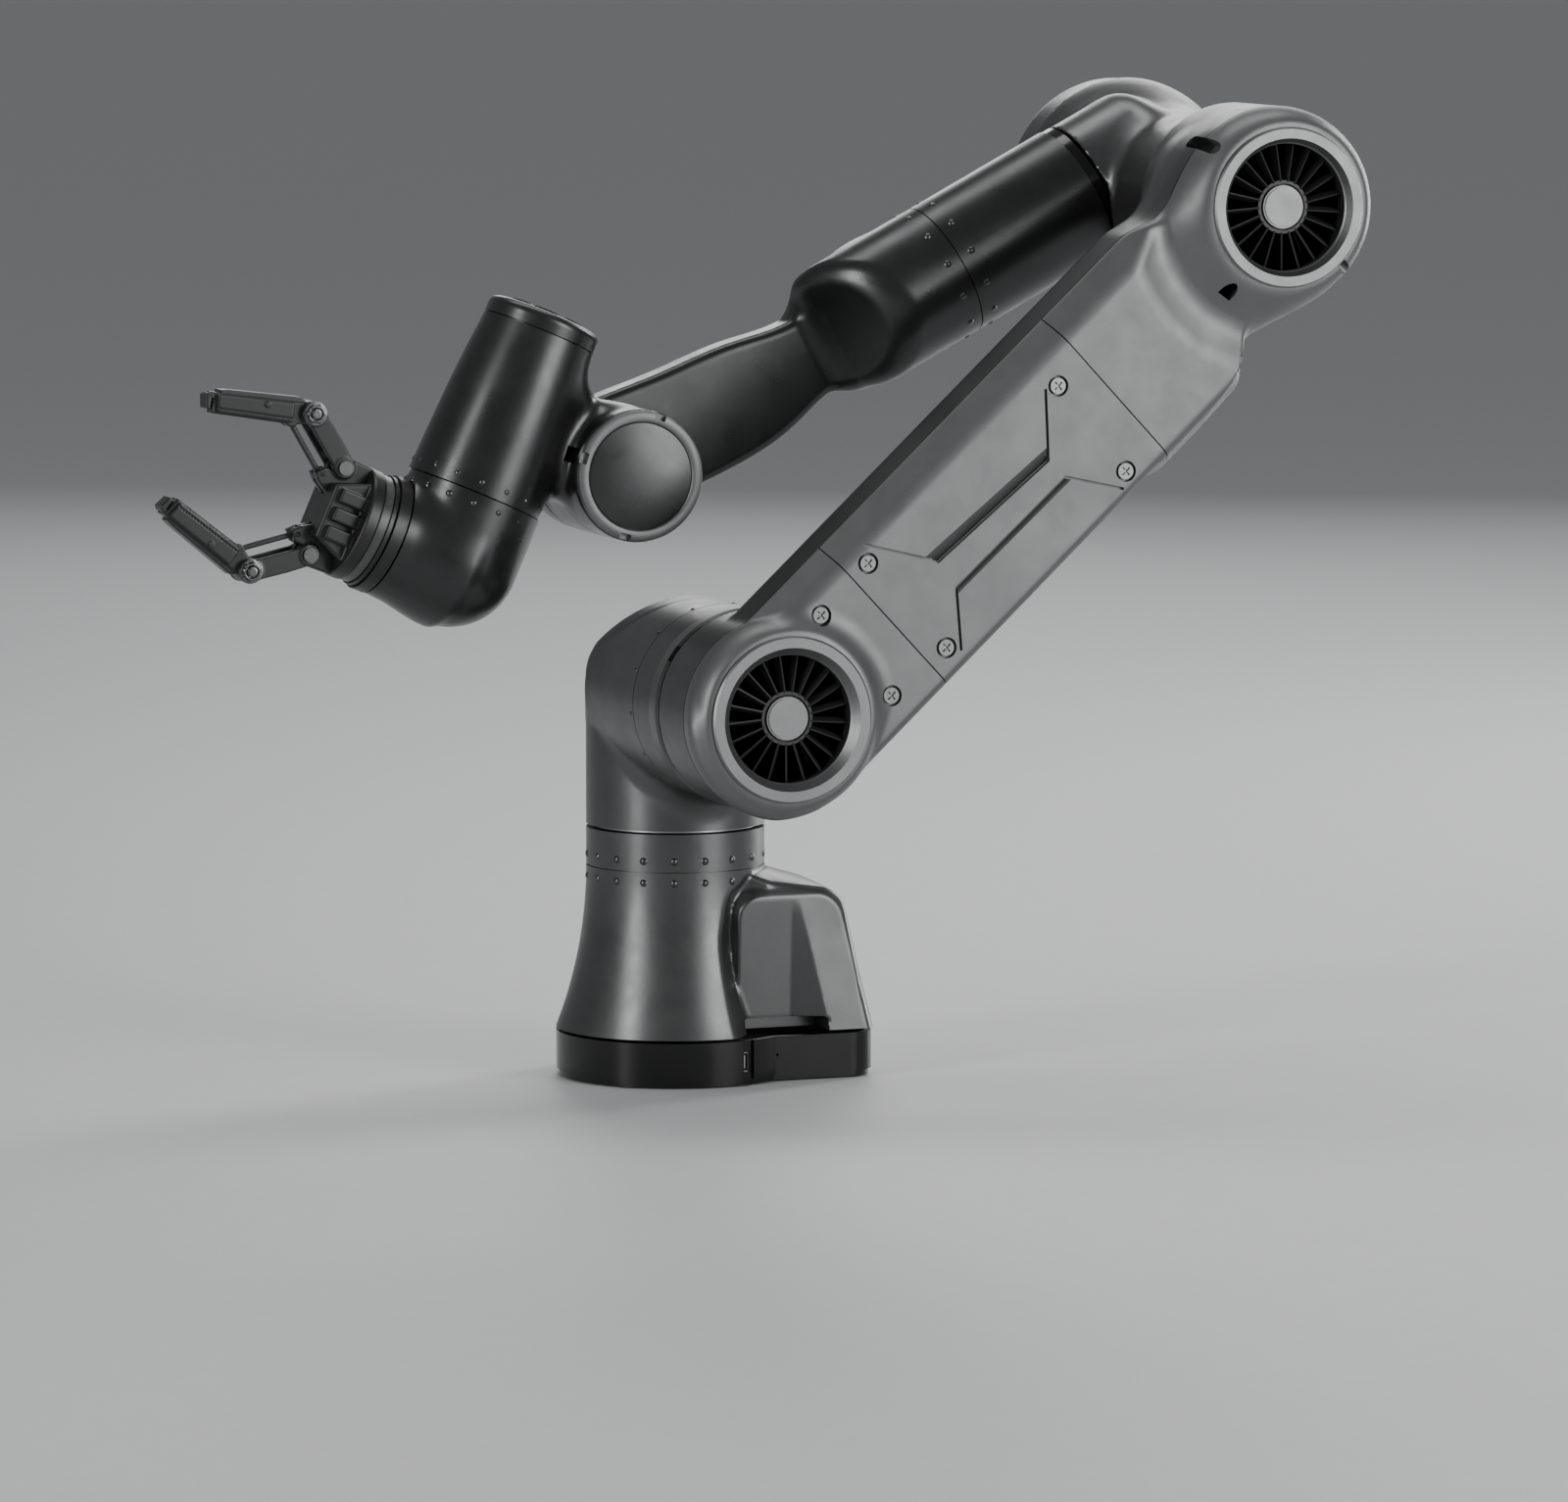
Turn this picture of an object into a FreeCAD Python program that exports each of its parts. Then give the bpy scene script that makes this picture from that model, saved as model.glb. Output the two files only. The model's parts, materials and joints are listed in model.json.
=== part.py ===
import FreeCAD, Part
import math
import os

# Desktop robot arm: six rotary joints and a two-finger linkage gripper.
# Millimetres, +Z up. The origin is on the base joint's axis at table level.
# +X is the way the arm faces and +Y is the side that carries the upper arm.

V = FreeCAD.Vector
X_AXIS = V(1, 0, 0)
Y_AXIS = V(0, 1, 0)
Z_AXIS = V(0, 0, 1)
ORIGIN = V(0, 0, 0)

# ---- driving dimensions ----------------------------------------------------
SHOULDER_Z = 179.0        # shoulder axis above the table
ARM_LENGTH = 325.0        # shoulder axis to elbow axis
ARM_TILT = -46.8          # upper arm from upright, about +Y
FOREARM_TILT = 28.0       # forearm from level, about +Y
WRIST_TILT = -23.5        # wrist from upright, about +Y
FOREARM_REACH = 298.0     # elbow axis to wrist axis, along the forearm
FOREARM_RISE = 21.6       # forearm axis above the elbow axis
FOREARM_Y = 8.0           # forearm axis beside the base axis
WRIST_Y = 28.0            # middle plane of the wrist and gripper
BODY_X = 60.5             # wrist axis to the wrist body's own axis
TOOL_Z = -68.5            # wrist axis down to the tool axis

WALL = 2.5                # castings and covers
BASE_WALL = 3.0
FIT = 0.05                # radial clearance of a running fit
SEAM = 0.6                # open line between two bolted shells
GROOVE = 1.6              # open groove at a turning joint

FOOT_R = 55.0
FOOT_SIDE = 44.0
FOOT_BACK = 84.0
FOOT_CORNER = 14.0
FOOT_PAD = 0.8
FOOT_TOP = 21.0
SKIRT_Z = 22.4
NECK_R = 41.0
NECK_Z = 97.4
COLLAR_TOP = 115.0
HEAD_R = 44.0
HEAD_SEAM_Y = 68.0
HEAD_END_Y = 104.5

ARM_BACK_Y = HEAD_END_Y + GROOVE
ARM_SPLIT_Y = 140.0
ARM_FACE_Y = 150.0
ARM_LOW_X = -43.5
ARM_HIGH_X = 41.5
ARM_FLAT_LOW = -40.5
ARM_FLAT_HIGH = 31.0
ARM_END_Z = 266.0
ARM_BACK_ROUND = 15.0
SHOULDER_R = 45.0
ELBOW_R = 45.0
LOW_SEAM_Z = 64.3
HIGH_SEAM_Z = 209.5
VENT_Y = 158.0

ELBOW_GAP_Y = 91.5
KNUCKLE_END_Y = ELBOW_GAP_Y - GROOVE
DISC_R = 52.0
DISC_SEAM_Y = -37.0
DISC_BACK_Y = -59.0
SOCKET_END = 32.5
TUBE_R = 32.0
RING_START = SOCKET_END + GROOVE
RING_END = RING_START + 4.6
TUBE_SEAM = 111.5
TUBE_END = 150.0
BLADE_BACK_Y = -22.0
BLADE_FRONT_Y = -3.0
BLADE_EYE_R = 29.4

BARREL_R = 30.0
BARREL_BACK_Y = BLADE_FRONT_Y + GROOVE
BARREL_SEAM_Y = 12.0
BARREL_FRONT_Y = 55.0
WRIST_SEAM_Z = -35.5
WRIST_CAP_Z = 43.0
CORNER_R = 31.0
TOOL_START = 30.5         # end of the wrist corner, from the tool corner

PIN_X = 63.0              # finger link pivots, from the tool corner
PIN_Z = 21.0
LINK_ANGLE = 36.9
LINK_LENGTH = 28.3
FINGER_LEAN = 14.5
ROD_DX = 8.0              # rod pivots from the link pivots
ROD_DZ = -6.5

# ---- helpers ---------------------------------------------------------------


def cyl_x(radius, x0, x1, y=0.0, z=0.0):
    return Part.makeCylinder(radius, x1 - x0, V(x0, y, z), X_AXIS)


def cyl_y(radius, y0, y1, x=0.0, z=0.0):
    return Part.makeCylinder(radius, y1 - y0, V(x, y0, z), Y_AXIS)


def cyl_z(radius, z0, z1, x=0.0, y=0.0):
    return Part.makeCylinder(radius, z1 - z0, V(x, y, z0), Z_AXIS)


def block(x0, x1, y0, y1, z0, z1):
    return Part.makeBox(x1 - x0, y1 - y0, z1 - z0, V(x0, y0, z0))


def tube_x(outer, inner, x0, x1, y=0.0, z=0.0):
    return cyl_x(outer, x0, x1, y, z).cut(cyl_x(inner, x0 - 1, x1 + 1, y, z))


def tube_y(outer, inner, y0, y1, x=0.0, z=0.0):
    return cyl_y(outer, y0, y1, x, z).cut(cyl_y(inner, y0 - 1, y1 + 1, x, z))


def tube_z(outer, inner, z0, z1, x=0.0, y=0.0):
    return cyl_z(outer, z0, z1, x, y).cut(cyl_z(inner, z0 - 1, z1 + 1, x, y))


def joined(first, *others):
    """One solid from overlapping solids."""
    return first.multiFuse(list(others)).removeSplitter()


def trimmed(shape, tools):
    """Cuts one tool after another, because the tools may overlap."""
    for tool in tools:
        shape = shape.cut(tool)
    return shape


def plate_xz(points, y0, y1):
    """A flat plate whose outline is given as (x, z) corners."""
    wire = Part.makePolygon([V(x, y0, z) for x, z in points + points[:1]])
    return Part.Face(wire).extrude(V(0, y1 - y0, 0))


def curve(points):
    """A smooth edge through the points."""
    line = Part.BSplineCurve()
    line.interpolate(points)
    return line.toShape()


def spun(edges, axis, base=ORIGIN):
    """A solid of revolution from a closed chain of edges."""
    face = Part.Face(Part.Wire(Part.__sortEdges__(edges)))
    return face.revolve(base, axis, 360)


def spun_profile(points, axis, base=ORIGIN):
    """A solid of revolution from a closed polygon."""
    wire = Part.makePolygon(points + points[:1])
    return Part.Face(wire).revolve(base, axis, 360)


def rounded(solid, radius, test):
    """Fillets the edges whose centre passes the test."""
    edges = [e for e in solid.Edges if test(e, e.CenterOfMass)]
    return solid.makeFillet(radius, edges)


def swung(shape, angle, pivot):
    """Turns a shape from its upright local frame about +Y and moves it to its pivot."""
    out = shape.copy()
    out.rotate(ORIGIN, Y_AXIS, angle)
    out.translate(pivot)
    return out


def shifted(shape, x, y, z):
    out = shape.copy()
    out.translate(V(x, y, z))
    return out


def turned_point(x, z, angle, pivot):
    """Where a local (x, z) point lies once its frame is turned about +Y."""
    a = math.radians(angle)
    return V(x * math.cos(a) + z * math.sin(a), 0, z * math.cos(a) - x * math.sin(a)).add(pivot)


def spoked(shape, axis, base, count, start=0.0):
    """The shape repeated evenly about an axis."""
    out = []
    for i in range(count):
        one = shape.copy()
        one.rotate(base, axis, start + i * 360.0 / count)
        out.append(one)
    return out


def save(name, shape):
    shape.exportStep("parts/" + name + ".step")


SHOULDER = V(0, 0, SHOULDER_Z)
ELBOW = turned_point(0, ARM_LENGTH, ARM_TILT, SHOULDER)
WRIST = turned_point(FOREARM_REACH, FOREARM_RISE, FOREARM_TILT, ELBOW)


def save_arm(name, shape):
    save(name, swung(shape, ARM_TILT, SHOULDER))


def save_forearm(name, shape):
    save(name, swung(shape, FOREARM_TILT, ELBOW))


def save_wrist(name, shape):
    save(name, swung(shape, WRIST_TILT, WRIST))


# ---- base ------------------------------------------------------------------
PAD_PLACES = [(34, 34), (34, -34), (-14, 46), (-14, -46), (-73, 33), (-73, -33)]
BOLT_CIRCLE = 70.0
BOLT_R = 2.5
SIDE_LEAN = 7.9           # rear housing side from upright


def foot_block(grow, z0, z1):
    """The base outline: a round front and a rounded rear lobe."""
    back = FOOT_BACK + grow
    side = FOOT_SIDE + grow
    lobe = block(-back, 0, -side, side, z0, z1)

    def is_upright_corner(e, c):
        return abs(c.x + back) < 0.1 and abs(c.z - (z0 + z1) / 2) < 0.1 and abs(abs(c.y) - side) < 0.1

    lobe = rounded(lobe, FOOT_CORNER + grow, is_upright_corner)
    return joined(cyl_z(FOOT_R + grow, z0, z1), lobe)


def bolt_holes(z0, z1):
    hole = cyl_z(BOLT_R, z0, z1, BOLT_CIRCLE / 2)
    return spoked(hole, Z_AXIS, ORIGIN, 4, 45)


PORT_ANGLE = 108.0        # the port slot, round from +X
PORT_FACE_R = 53.6


def port_frame(shape):
    """Moves a piece made facing +X to the port's place."""
    out = shape.copy()
    out.rotate(ORIGIN, Z_AXIS, PORT_ANGLE)
    return out


def make_base():
    floor = FOOT_PAD + BASE_WALL
    foot = foot_block(0, FOOT_PAD, FOOT_TOP).cut(foot_block(-BASE_WALL, floor, FOOT_TOP + 1))
    foot = foot.cut(foot_block(1, FOOT_PAD - 1, 3.4).cut(foot_block(-1.2, FOOT_PAD - 2, 4)))
    slot = port_frame(block(PORT_FACE_R, 60, -3.2, 3.2, -1, FOOT_TOP + 1))
    mouth = port_frame(block(45, 60, -1.6, 1.6, 6.5, 15.5))
    pinhole = cyl_y(0.6, FOOT_SIDE - 4, FOOT_SIDE + 1, -34, 12.5)
    foot = foot.cut(slot).cut(mouth).cut(pinhole)
    save("base_foot", foot.cut(Part.makeCompound(bolt_holes(-1, 10))))

    ballast = foot_block(-BASE_WALL - 0.4, floor, 17.5)
    ballast = ballast.cut(port_frame(block(38, 60, -8, 8, 0, 30)))
    save("ballast_plate", ballast.cut(Part.makeCompound(bolt_holes(-1, 30))))

    pads = [cyl_z(6, 0, FOOT_PAD, x, y) for x, y in PAD_PLACES]
    save("rubber_feet", Part.makeCompound(pads))

    shell = joined(block(47, PORT_FACE_R - 0.8, -1.6, 1.6, 6.5, 15.5), block(42, 47, -3.5, 3.5, 5, 17))
    opening = block(48.5, 60, -1.1, 1.1, 7.0, 15.0)
    tongue = block(48, 52, -0.4, 0.4, 8.0, 14.0)
    save("usb_port", port_frame(shell.cut(opening).fuse(tongue).removeSplitter()))

    board = block(-73, -40, -25, 25, 30, 31.6)
    parts = [block(-70, -58, -20, -6, 31.6, 38),
             block(-56, -44, 2, 20, 31.6, 36),
             block(-72, -62, 6, 14, 31.6, 42)]
    save("controller_board", joined(board, *parts))


def skirt(inset, z0, z1):
    """The bell: an arc that is upright at the neck and flares to the foot."""
    flare = FOOT_R - NECK_R
    drop = NECK_Z - SKIRT_Z
    bow = (drop ** 2 + flare ** 2) / (2 * flare)

    def radius(z):
        return NECK_R - inset + bow - math.sqrt(bow ** 2 - (NECK_Z - z) ** 2)

    mid = (z0 + z1) / 2
    side = Part.Arc(V(radius(z0), 0, z0), V(radius(mid), 0, mid), V(radius(z1), 0, z1)).toShape()
    edges = [side,
             Part.makeLine(V(radius(z1), 0, z1), V(0, 0, z1)),
             Part.makeLine(V(0, 0, z1), V(0, 0, z0)),
             Part.makeLine(V(0, 0, z0), V(radius(z0), 0, z0))]
    return spun(edges, Z_AXIS)


def rear_housing(inset, z0, z1):
    """The box behind the bell, leaning in on its back and sides."""
    lean = math.tan(math.radians(SIDE_LEAN))
    back_lean = math.tan(math.radians(12.5))

    def outline(z):
        side = 42.0 - inset - (z - SKIRT_Z) * lean
        back = 85.0 - inset - (z - SKIRT_Z) * back_lean
        r = FOOT_CORNER - inset * 0.5
        straight = [Part.makeLine(V(0, side, z), V(r - back, side, z)),
                    Part.makeLine(V(-back, side - r, z), V(-back, r - side, z)),
                    Part.makeLine(V(r - back, -side, z), V(0, -side, z)),
                    Part.makeLine(V(0, -side, z), V(0, side, z))]
        s = r * (1 - math.sqrt(0.5))
        bends = [Part.Arc(V(r - back, side, z), V(s - back, side - s, z), V(-back, side - r, z)).toShape(),
                 Part.Arc(V(-back, r - side, z), V(s - back, s - side, z), V(r - back, -side, z)).toShape()]
        return Part.Wire(Part.__sortEdges__(straight + bends))

    box = Part.makeLoft([outline(z0), outline(z1)], True, True)
    top = block(-120, 60, -80, 80, 0, 60)
    top.rotate(ORIGIN, Y_AXIS, -16)
    top.translate(V(-36, 0, 96.5 - inset))
    return box.cut(top)


def side_cuts(side):
    """The recessed panel, its stepped facet and the pocket under it, on one side."""
    outline = [(-14, 25), (-79, 25), (-76.5, 40), (-68.5, 78.5), (-21, 80), (-17, 74), (-15, 55)]
    panel = plate_xz(outline, 0, 30)
    panel = rounded(panel, 6, lambda e, c: abs(c.y - 15) < 0.1 and c.z > 70)
    panel.rotate(V(0, 0, SKIRT_Z), X_AXIS, SIDE_LEAN)
    panel.translate(V(0, 42.0 - 1.6, 0))
    step = plate_xz([(-18, 20), (-62, 20), (-43.5, 77), (-20, 77)], 30.5, 70)
    pocket = block(-58, -22, 20, 60, SKIRT_Z, 28.5)
    cuts = [panel, step, pocket]
    if side < 0:
        cuts = [c.mirror(ORIGIN, Y_AXIS) for c in cuts]
    return cuts


def make_base_housing():
    outer = joined(skirt(0, SKIRT_Z, NECK_Z), rear_housing(0, SKIRT_Z, NECK_Z))
    outer = trimmed(outer, side_cuts(1) + side_cuts(-1))
    outer = joined(outer, skirt(0, SKIRT_Z, NECK_Z))
    hollow = joined(skirt(BASE_WALL, SKIRT_Z - 3, NECK_Z + 1),
                    block(-74, 0, -26.5, 26.5, SKIRT_Z - 3, 74))
    lip = foot_block(-3.4, FOOT_TOP, SKIRT_Z + 2.5).cut(foot_block(-8.0, FOOT_TOP - 1, SKIRT_Z + 4))
    lip = lip.cut(block(-60, -20, 20, 60, 0, 60)).cut(block(-60, -20, -60, -20, 0, 60))
    housing = joined(outer.cut(hollow), lip)
    vent = [block(-120, -60, y - 1.2, y + 1.2, 36, 62) for y in (-15, -9, -3, 3, 9, 15)]
    save("base_housing", housing.cut(Part.makeCompound(vent + neck_screw_list())))


def neck_screw_list():
    """Domed screws on both sides of the neck seam."""
    out = []
    for z in (NECK_Z - 4.7, NECK_Z + 5.3):
        shank = cyl_x(1.5, NECK_R - 3.2, NECK_R + 0.2, 0, z)
        dome = Part.makeSphere(2.2, V(NECK_R - 1.35, 0, z))
        dome = dome.common(cyl_x(1.8, NECK_R - 0.2, NECK_R + 2, 0, z))
        out += spoked(joined(shank, dome), Z_AXIS, ORIGIN, 18, 10)
    return out


def make_neck():
    collar = tube_z(NECK_R, 34.0, NECK_Z + SEAM, COLLAR_TOP)
    collar = joined(collar, tube_z(NECK_R - 0.8, 34.0, NECK_Z, NECK_Z + SEAM + 1))
    save("collar_ring", collar.cut(Part.makeCompound(neck_screw_list())))
    save("collar_screws", Part.makeCompound(neck_screw_list()))
    save("j1_bearing", tube_z(34.0, 26.0 + FIT, 100, 112))
    save("j1_motor", joined(tube_z(34.5, 26.0 + FIT, 44, 92), tube_z(36.5, 26.0 + FIT, 40, 48)))


# ---- turret ----------------------------------------------------------------
def head_body(inset, z0):
    """An upright leg that turns into a level one, with its outer corner cut off."""
    r_leg = NECK_R - inset
    r_arm = HEAD_R - inset
    leg = cyl_z(r_leg, z0, SHOULDER_Z)
    arm = cyl_y(r_arm, 0, HEAD_SEAM_Y, 0, SHOULDER_Z)
    knee = cyl_z(r_leg, z0, SHOULDER_Z + 60).common(cyl_y(r_arm, -60, 20, 0, SHOULDER_Z))
    body = joined(leg, arm, knee)
    corner = block(-80, 80, -80, 80, 0, 80)
    corner.rotate(ORIGIN, X_AXIS, 45)
    corner.translate(V(0, 0, SHOULDER_Z + 25.0 - inset * 1.4))
    return body.cut(corner)


def make_turret():
    z0 = COLLAR_TOP + GROOVE
    shell = head_body(0, z0)
    shell = shell.cut(head_body(BASE_WALL, z0 - 1)).cut(cyl_y(HEAD_R - BASE_WALL, 40, 80, 0, SHOULDER_Z))
    shell = shell.cut(Part.makeCompound(shoulder_screw_list()))
    save("turret_shell", shell)

    hub = joined(cyl_z(26.0, 52, COLLAR_TOP + 2), cyl_z(37.9, COLLAR_TOP + 0.6, COLLAR_TOP + 5))
    save("turret_hub", hub.cut(cyl_z(17.0, 40, 140)))
    save("shoulder_screws", Part.makeCompound(shoulder_screw_list()))

    ring = tube_y(HEAD_R, HEAD_R - BASE_WALL, HEAD_SEAM_Y + SEAM, 92, 0, SHOULDER_Z)
    flare = [V(HEAD_R - 3, 90, 0), V(HEAD_R, 90, 0), V(HEAD_R + 1.4, HEAD_END_Y - 2, 0),
             V(HEAD_R + 0.6, HEAD_END_Y, 0), V(36.0, HEAD_END_Y, 0), V(36.0, HEAD_END_Y - 4, 0),
             V(HEAD_R - 3, 98, 0)]
    flare = shifted(spun_profile(flare, Y_AXIS), 0, 0, SHOULDER_Z)
    lip = tube_y(HEAD_R - 0.8, HEAD_R - BASE_WALL, HEAD_SEAM_Y, HEAD_SEAM_Y + 2, 0, SHOULDER_Z)
    stop = block(-HEAD_R - 2, -HEAD_R + 2.5, HEAD_END_Y - 2.2, HEAD_END_Y + 1,
                 SHOULDER_Z - 4, SHOULDER_Z + 4)
    stop.rotate(SHOULDER, Y_AXIS, 145)
    save("shoulder_ring", joined(ring, flare, lip).cut(stop))
    motor = joined(tube_y(40.5, 28.0 + FIT, 66, 97, 0, SHOULDER_Z),
                   tube_y(34, 28.0 + FIT, 50, 68, 0, SHOULDER_Z))
    save("j2_motor", motor)


def shoulder_screw_list():
    """Small domed screws just behind the shoulder seam."""
    y = HEAD_SEAM_Y - 3.2
    place = V(0, y, SHOULDER_Z)
    shank = cyl_x(0.9, HEAD_R - 2.4, HEAD_R + 0.1, y, SHOULDER_Z)
    dome = Part.makeSphere(1.6, V(HEAD_R - 1.1, y, SHOULDER_Z)).common(
        cyl_x(1.2, HEAD_R - 0.3, HEAD_R + 2, y, SHOULDER_Z))
    return spoked(joined(shank, dome), Y_AXIS, place, 14, 6)


# ---- upper arm (local frame: upright, shoulder axis at the origin) ---------
def arm_outline(inset, y0, y1, back_round=0.0):
    """Shoulder disc, slab with a rounded end, neck and elbow disc."""
    top = ARM_END_Z + 18 - inset
    slab = block(ARM_LOW_X + inset, ARM_HIGH_X - inset, y0, y1, 0, top)
    middle = (y0 + y1) / 2
    slab = rounded(slab, 24 - inset, lambda e, c: abs(c.z - top) < 0.1 and abs(c.y - middle) < 0.1)
    if back_round:
        slab = rounded(slab, back_round, lambda e, c: abs(c.y - y0) < 0.1 and c.z > 20)
    neck = block(-33 + inset, 33 - inset, y0, y1, ARM_END_Z - 20, ARM_LENGTH)
    elbow = cyl_y(ELBOW_R - inset, y0, y1, 0, ARM_LENGTH)
    return joined(cyl_y(SHOULDER_R - inset, y0, y1), slab, neck, elbow)


def face_trim(inset):
    """What the front edges lose: a broad slope above and a small one below."""
    depth = ARM_FACE_Y - ARM_SPLIT_Y
    out = []
    for edge, flat in ((ARM_HIGH_X, ARM_FLAT_HIGH), (ARM_LOW_X, ARM_FLAT_LOW)):
        way = 1 if edge > 0 else -1
        drop = depth - 1 if way > 0 else 3.0
        edge_in = edge - way * inset
        flat_in = flat - way * inset * 0.6
        face = ARM_FACE_Y - inset
        clear = edge_in + way * 12
        corners = [(flat_in, face), (edge_in, face - drop), (clear, face - drop), (clear, face + 9),
                   (flat_in, face + 9), (flat_in, face)]
        wire = Part.makePolygon([V(x, y, -10) for x, y in corners])
        out.append(Part.Face(wire).extrude(V(0, 0, ARM_END_Z + 10)))
    return out


def end_dome(radius, top, inset):
    """The rounded barrel end that carries a vent."""
    base_y = ARM_SPLIT_Y
    crown = VENT_Y - 2.0 - inset
    r = radius - inset
    side = Part.Arc(V(r, base_y, 0), V(r - (r - top) * 0.24, base_y + (crown - base_y) * 0.62, 0),
                    V(top, crown, 0)).toShape()
    edges = [side,
             Part.makeLine(V(top, crown, 0), V(0, crown, 0)),
             Part.makeLine(V(0, crown, 0), V(0, base_y, 0)),
             Part.makeLine(V(0, base_y, 0), V(r, base_y, 0))]
    return spun(edges, Y_AXIS)


def front_body(inset):
    """Everything in front of the split line, before it is divided into covers."""
    flat = arm_outline(inset, ARM_SPLIT_Y, ARM_FACE_Y - inset).cut(Part.makeCompound(face_trim(inset)))
    shoulder = end_dome(SHOULDER_R, 37.4, inset)
    elbow = shifted(end_dome(ELBOW_R, 36.4, inset), 0, 0, ARM_LENGTH)
    body = joined(flat.cut(cyl_y(30, 100, 200)), shoulder, elbow)
    return body


SCREW_PLACES = [(17.1, 192.7), (-33.7, 189.9), (23.1, 74.3), (-30.7, 74.9), (22.0, 42.7), (-27.8, 41.8)]
LEFT_GROOVE = [(20.4, 187.4), (-3.9, 166.6), (0.1, 98.6), (30.5, 78.6)]
RIGHT_GROOVE = [(-38.8, 183.8), (-15.3, 167.6), (-14.5, 96.5), (-36.6, 79.0)]
SLOT_ANGLES = (8, 108)


def groove_cut(points, width, depth):
    """A narrow cut that follows a line on the front face."""
    out = []
    for (x0, z0), (x1, z1) in zip(points, points[1:]):
        length = math.hypot(x1 - x0, z1 - z0)
        half = width / 2
        bar = block(-half, half, ARM_FACE_Y - depth, ARM_FACE_Y + 1, -half, length + half)
        bar.rotate(ORIGIN, Y_AXIS, math.degrees(math.atan2(x1 - x0, z1 - z0)))
        out.append(shifted(bar, x0, 0, z0))
    return out


def wedge_pocket(x_deep, x_edge, z0, z1):
    """A sloping pocket beside a groove, deepest at the groove, with slanted ends."""
    face = ARM_FACE_Y
    slant = 4.0
    depth = 1.9
    wire = Part.makePolygon([V(x_deep, face - depth, z0), V(x_edge, face, z0), V(x_edge, face + 1, z0),
                             V(x_deep, face + 1, z0), V(x_deep, face - depth, z0)])
    wedge = Part.Face(wire).extrude(V(0, 0, z1 - z0))
    outline = [(x_deep, z0), (x_deep, z1), (x_edge, z1 - slant), (x_edge, z0 + slant)]
    return wedge.common(plate_xz(outline, face - depth - 1, face + 2))


def cover_screw(x, z):
    head = cyl_y(3.6, ARM_FACE_Y - 1.6, ARM_FACE_Y - 0.2, x, z)
    cross = block(x - 2.4, x + 2.4, ARM_FACE_Y - 1.2, ARM_FACE_Y, z - 0.45, z + 0.45)
    other = block(x - 0.45, x + 0.45, ARM_FACE_Y - 1.2, ARM_FACE_Y, z - 2.4, z + 2.4)
    shank = cyl_y(1.7, ARM_FACE_Y - 9, ARM_FACE_Y - 1.6, x, z)
    return joined(head, shank).cut(cross).cut(other)


def cover_recess(x, z):
    return joined(cyl_y(4.9, ARM_FACE_Y - 1.6, ARM_FACE_Y + 1, x, z),
                  cyl_y(1.7, ARM_FACE_Y - 12, ARM_FACE_Y, x, z))


def make_arm_shells():
    back = arm_outline(0, ARM_BACK_Y, ARM_SPLIT_Y - SEAM, ARM_BACK_ROUND)
    flare = [V(0, ELBOW_GAP_Y, 0), V(41.5, ELBOW_GAP_Y, 0), V(ELBOW_R, 118, 0), V(0, 118, 0)]
    boss = shifted(spun_profile(flare, Y_AXIS), 0, 0, ARM_LENGTH)
    hollow = arm_outline(WALL, ARM_BACK_Y + WALL, ARM_SPLIT_Y + 1, ARM_BACK_ROUND - WALL)
    bore = cyl_y(40.0, ELBOW_GAP_Y + 3, ARM_SPLIT_Y + 1, 0, ARM_LENGTH)
    mouth = cyl_y(30.0, ELBOW_GAP_Y - 1, ARM_SPLIT_Y, 0, ARM_LENGTH)
    back = joined(back, boss).cut(joined(hollow, bore)).cut(mouth)
    save_arm("arm_rear_shell", back.cut(cyl_y(28.0, 90, 120)))

    front = front_body(0)
    inner = front_body(WALL)
    skin = front.cut(inner)
    lip = joined(arm_outline(WALL + FIT, ARM_SPLIT_Y - 3, ARM_SPLIT_Y + 1.5),
                 arm_outline(WALL - 0.5, ARM_SPLIT_Y, ARM_SPLIT_Y + 1.5))
    lip = lip.cut(arm_outline(WALL + 2, ARM_SPLIT_Y - 4, ARM_SPLIT_Y + 2))
    skin = joined(skin, lip)
    for z in (0, ARM_LENGTH):
        skin = skin.cut(cyl_y(32.4, 120, 200, 0, z))
    sections = {"shoulder_cover": (-100, LOW_SEAM_Z - SEAM / 2),
                "middle_cover": (LOW_SEAM_Z + SEAM / 2, HIGH_SEAM_Z - SEAM / 2),
                "elbow_cover": (HIGH_SEAM_Z + SEAM / 2, 500)}
    bosses = [cyl_y(4.5, ARM_FACE_Y - 9, ARM_FACE_Y - 1, x, z) for x, z in SCREW_PLACES]
    skin = joined(skin, *[b.common(front) for b in bosses])
    skin = skin.cut(Part.makeCompound([cover_recess(x, z) for x, z in SCREW_PLACES]))
    for name, (z0, z1) in sections.items():
        piece = skin.common(block(-90, 90, 100, 200, z0, z1))
        if name == "middle_cover":
            cuts = groove_cut(LEFT_GROOVE, 1.1, 1.2) + groove_cut(RIGHT_GROOVE, 1.1, 1.2)
            cuts += [wedge_pocket(-1.0, 7.0, 97, 171), wedge_pocket(-15.0, -18.8, 97, 168)]
            piece = trimmed(piece, cuts)
        if name == "elbow_cover":
            piece = trimmed(piece, elbow_slots())
        save_arm(name, piece)
    save_arm("cover_screws", Part.makeCompound([cover_screw(x, z) for x, z in SCREW_PLACES]))


def elbow_slots():
    """Two long shallow slots in the side of the elbow barrel."""
    out = []
    for angle in SLOT_ANGLES:
        slot = block(ELBOW_R - 3.2, ELBOW_R + 3, ARM_SPLIT_Y + 1.5, ARM_SPLIT_Y + 13, -2.6, 2.6)
        slot = shifted(slot, 0, 0, ARM_LENGTH)
        slot.rotate(V(0, 0, ARM_LENGTH), Y_AXIS, angle)
        out.append(slot)
    return out


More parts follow.
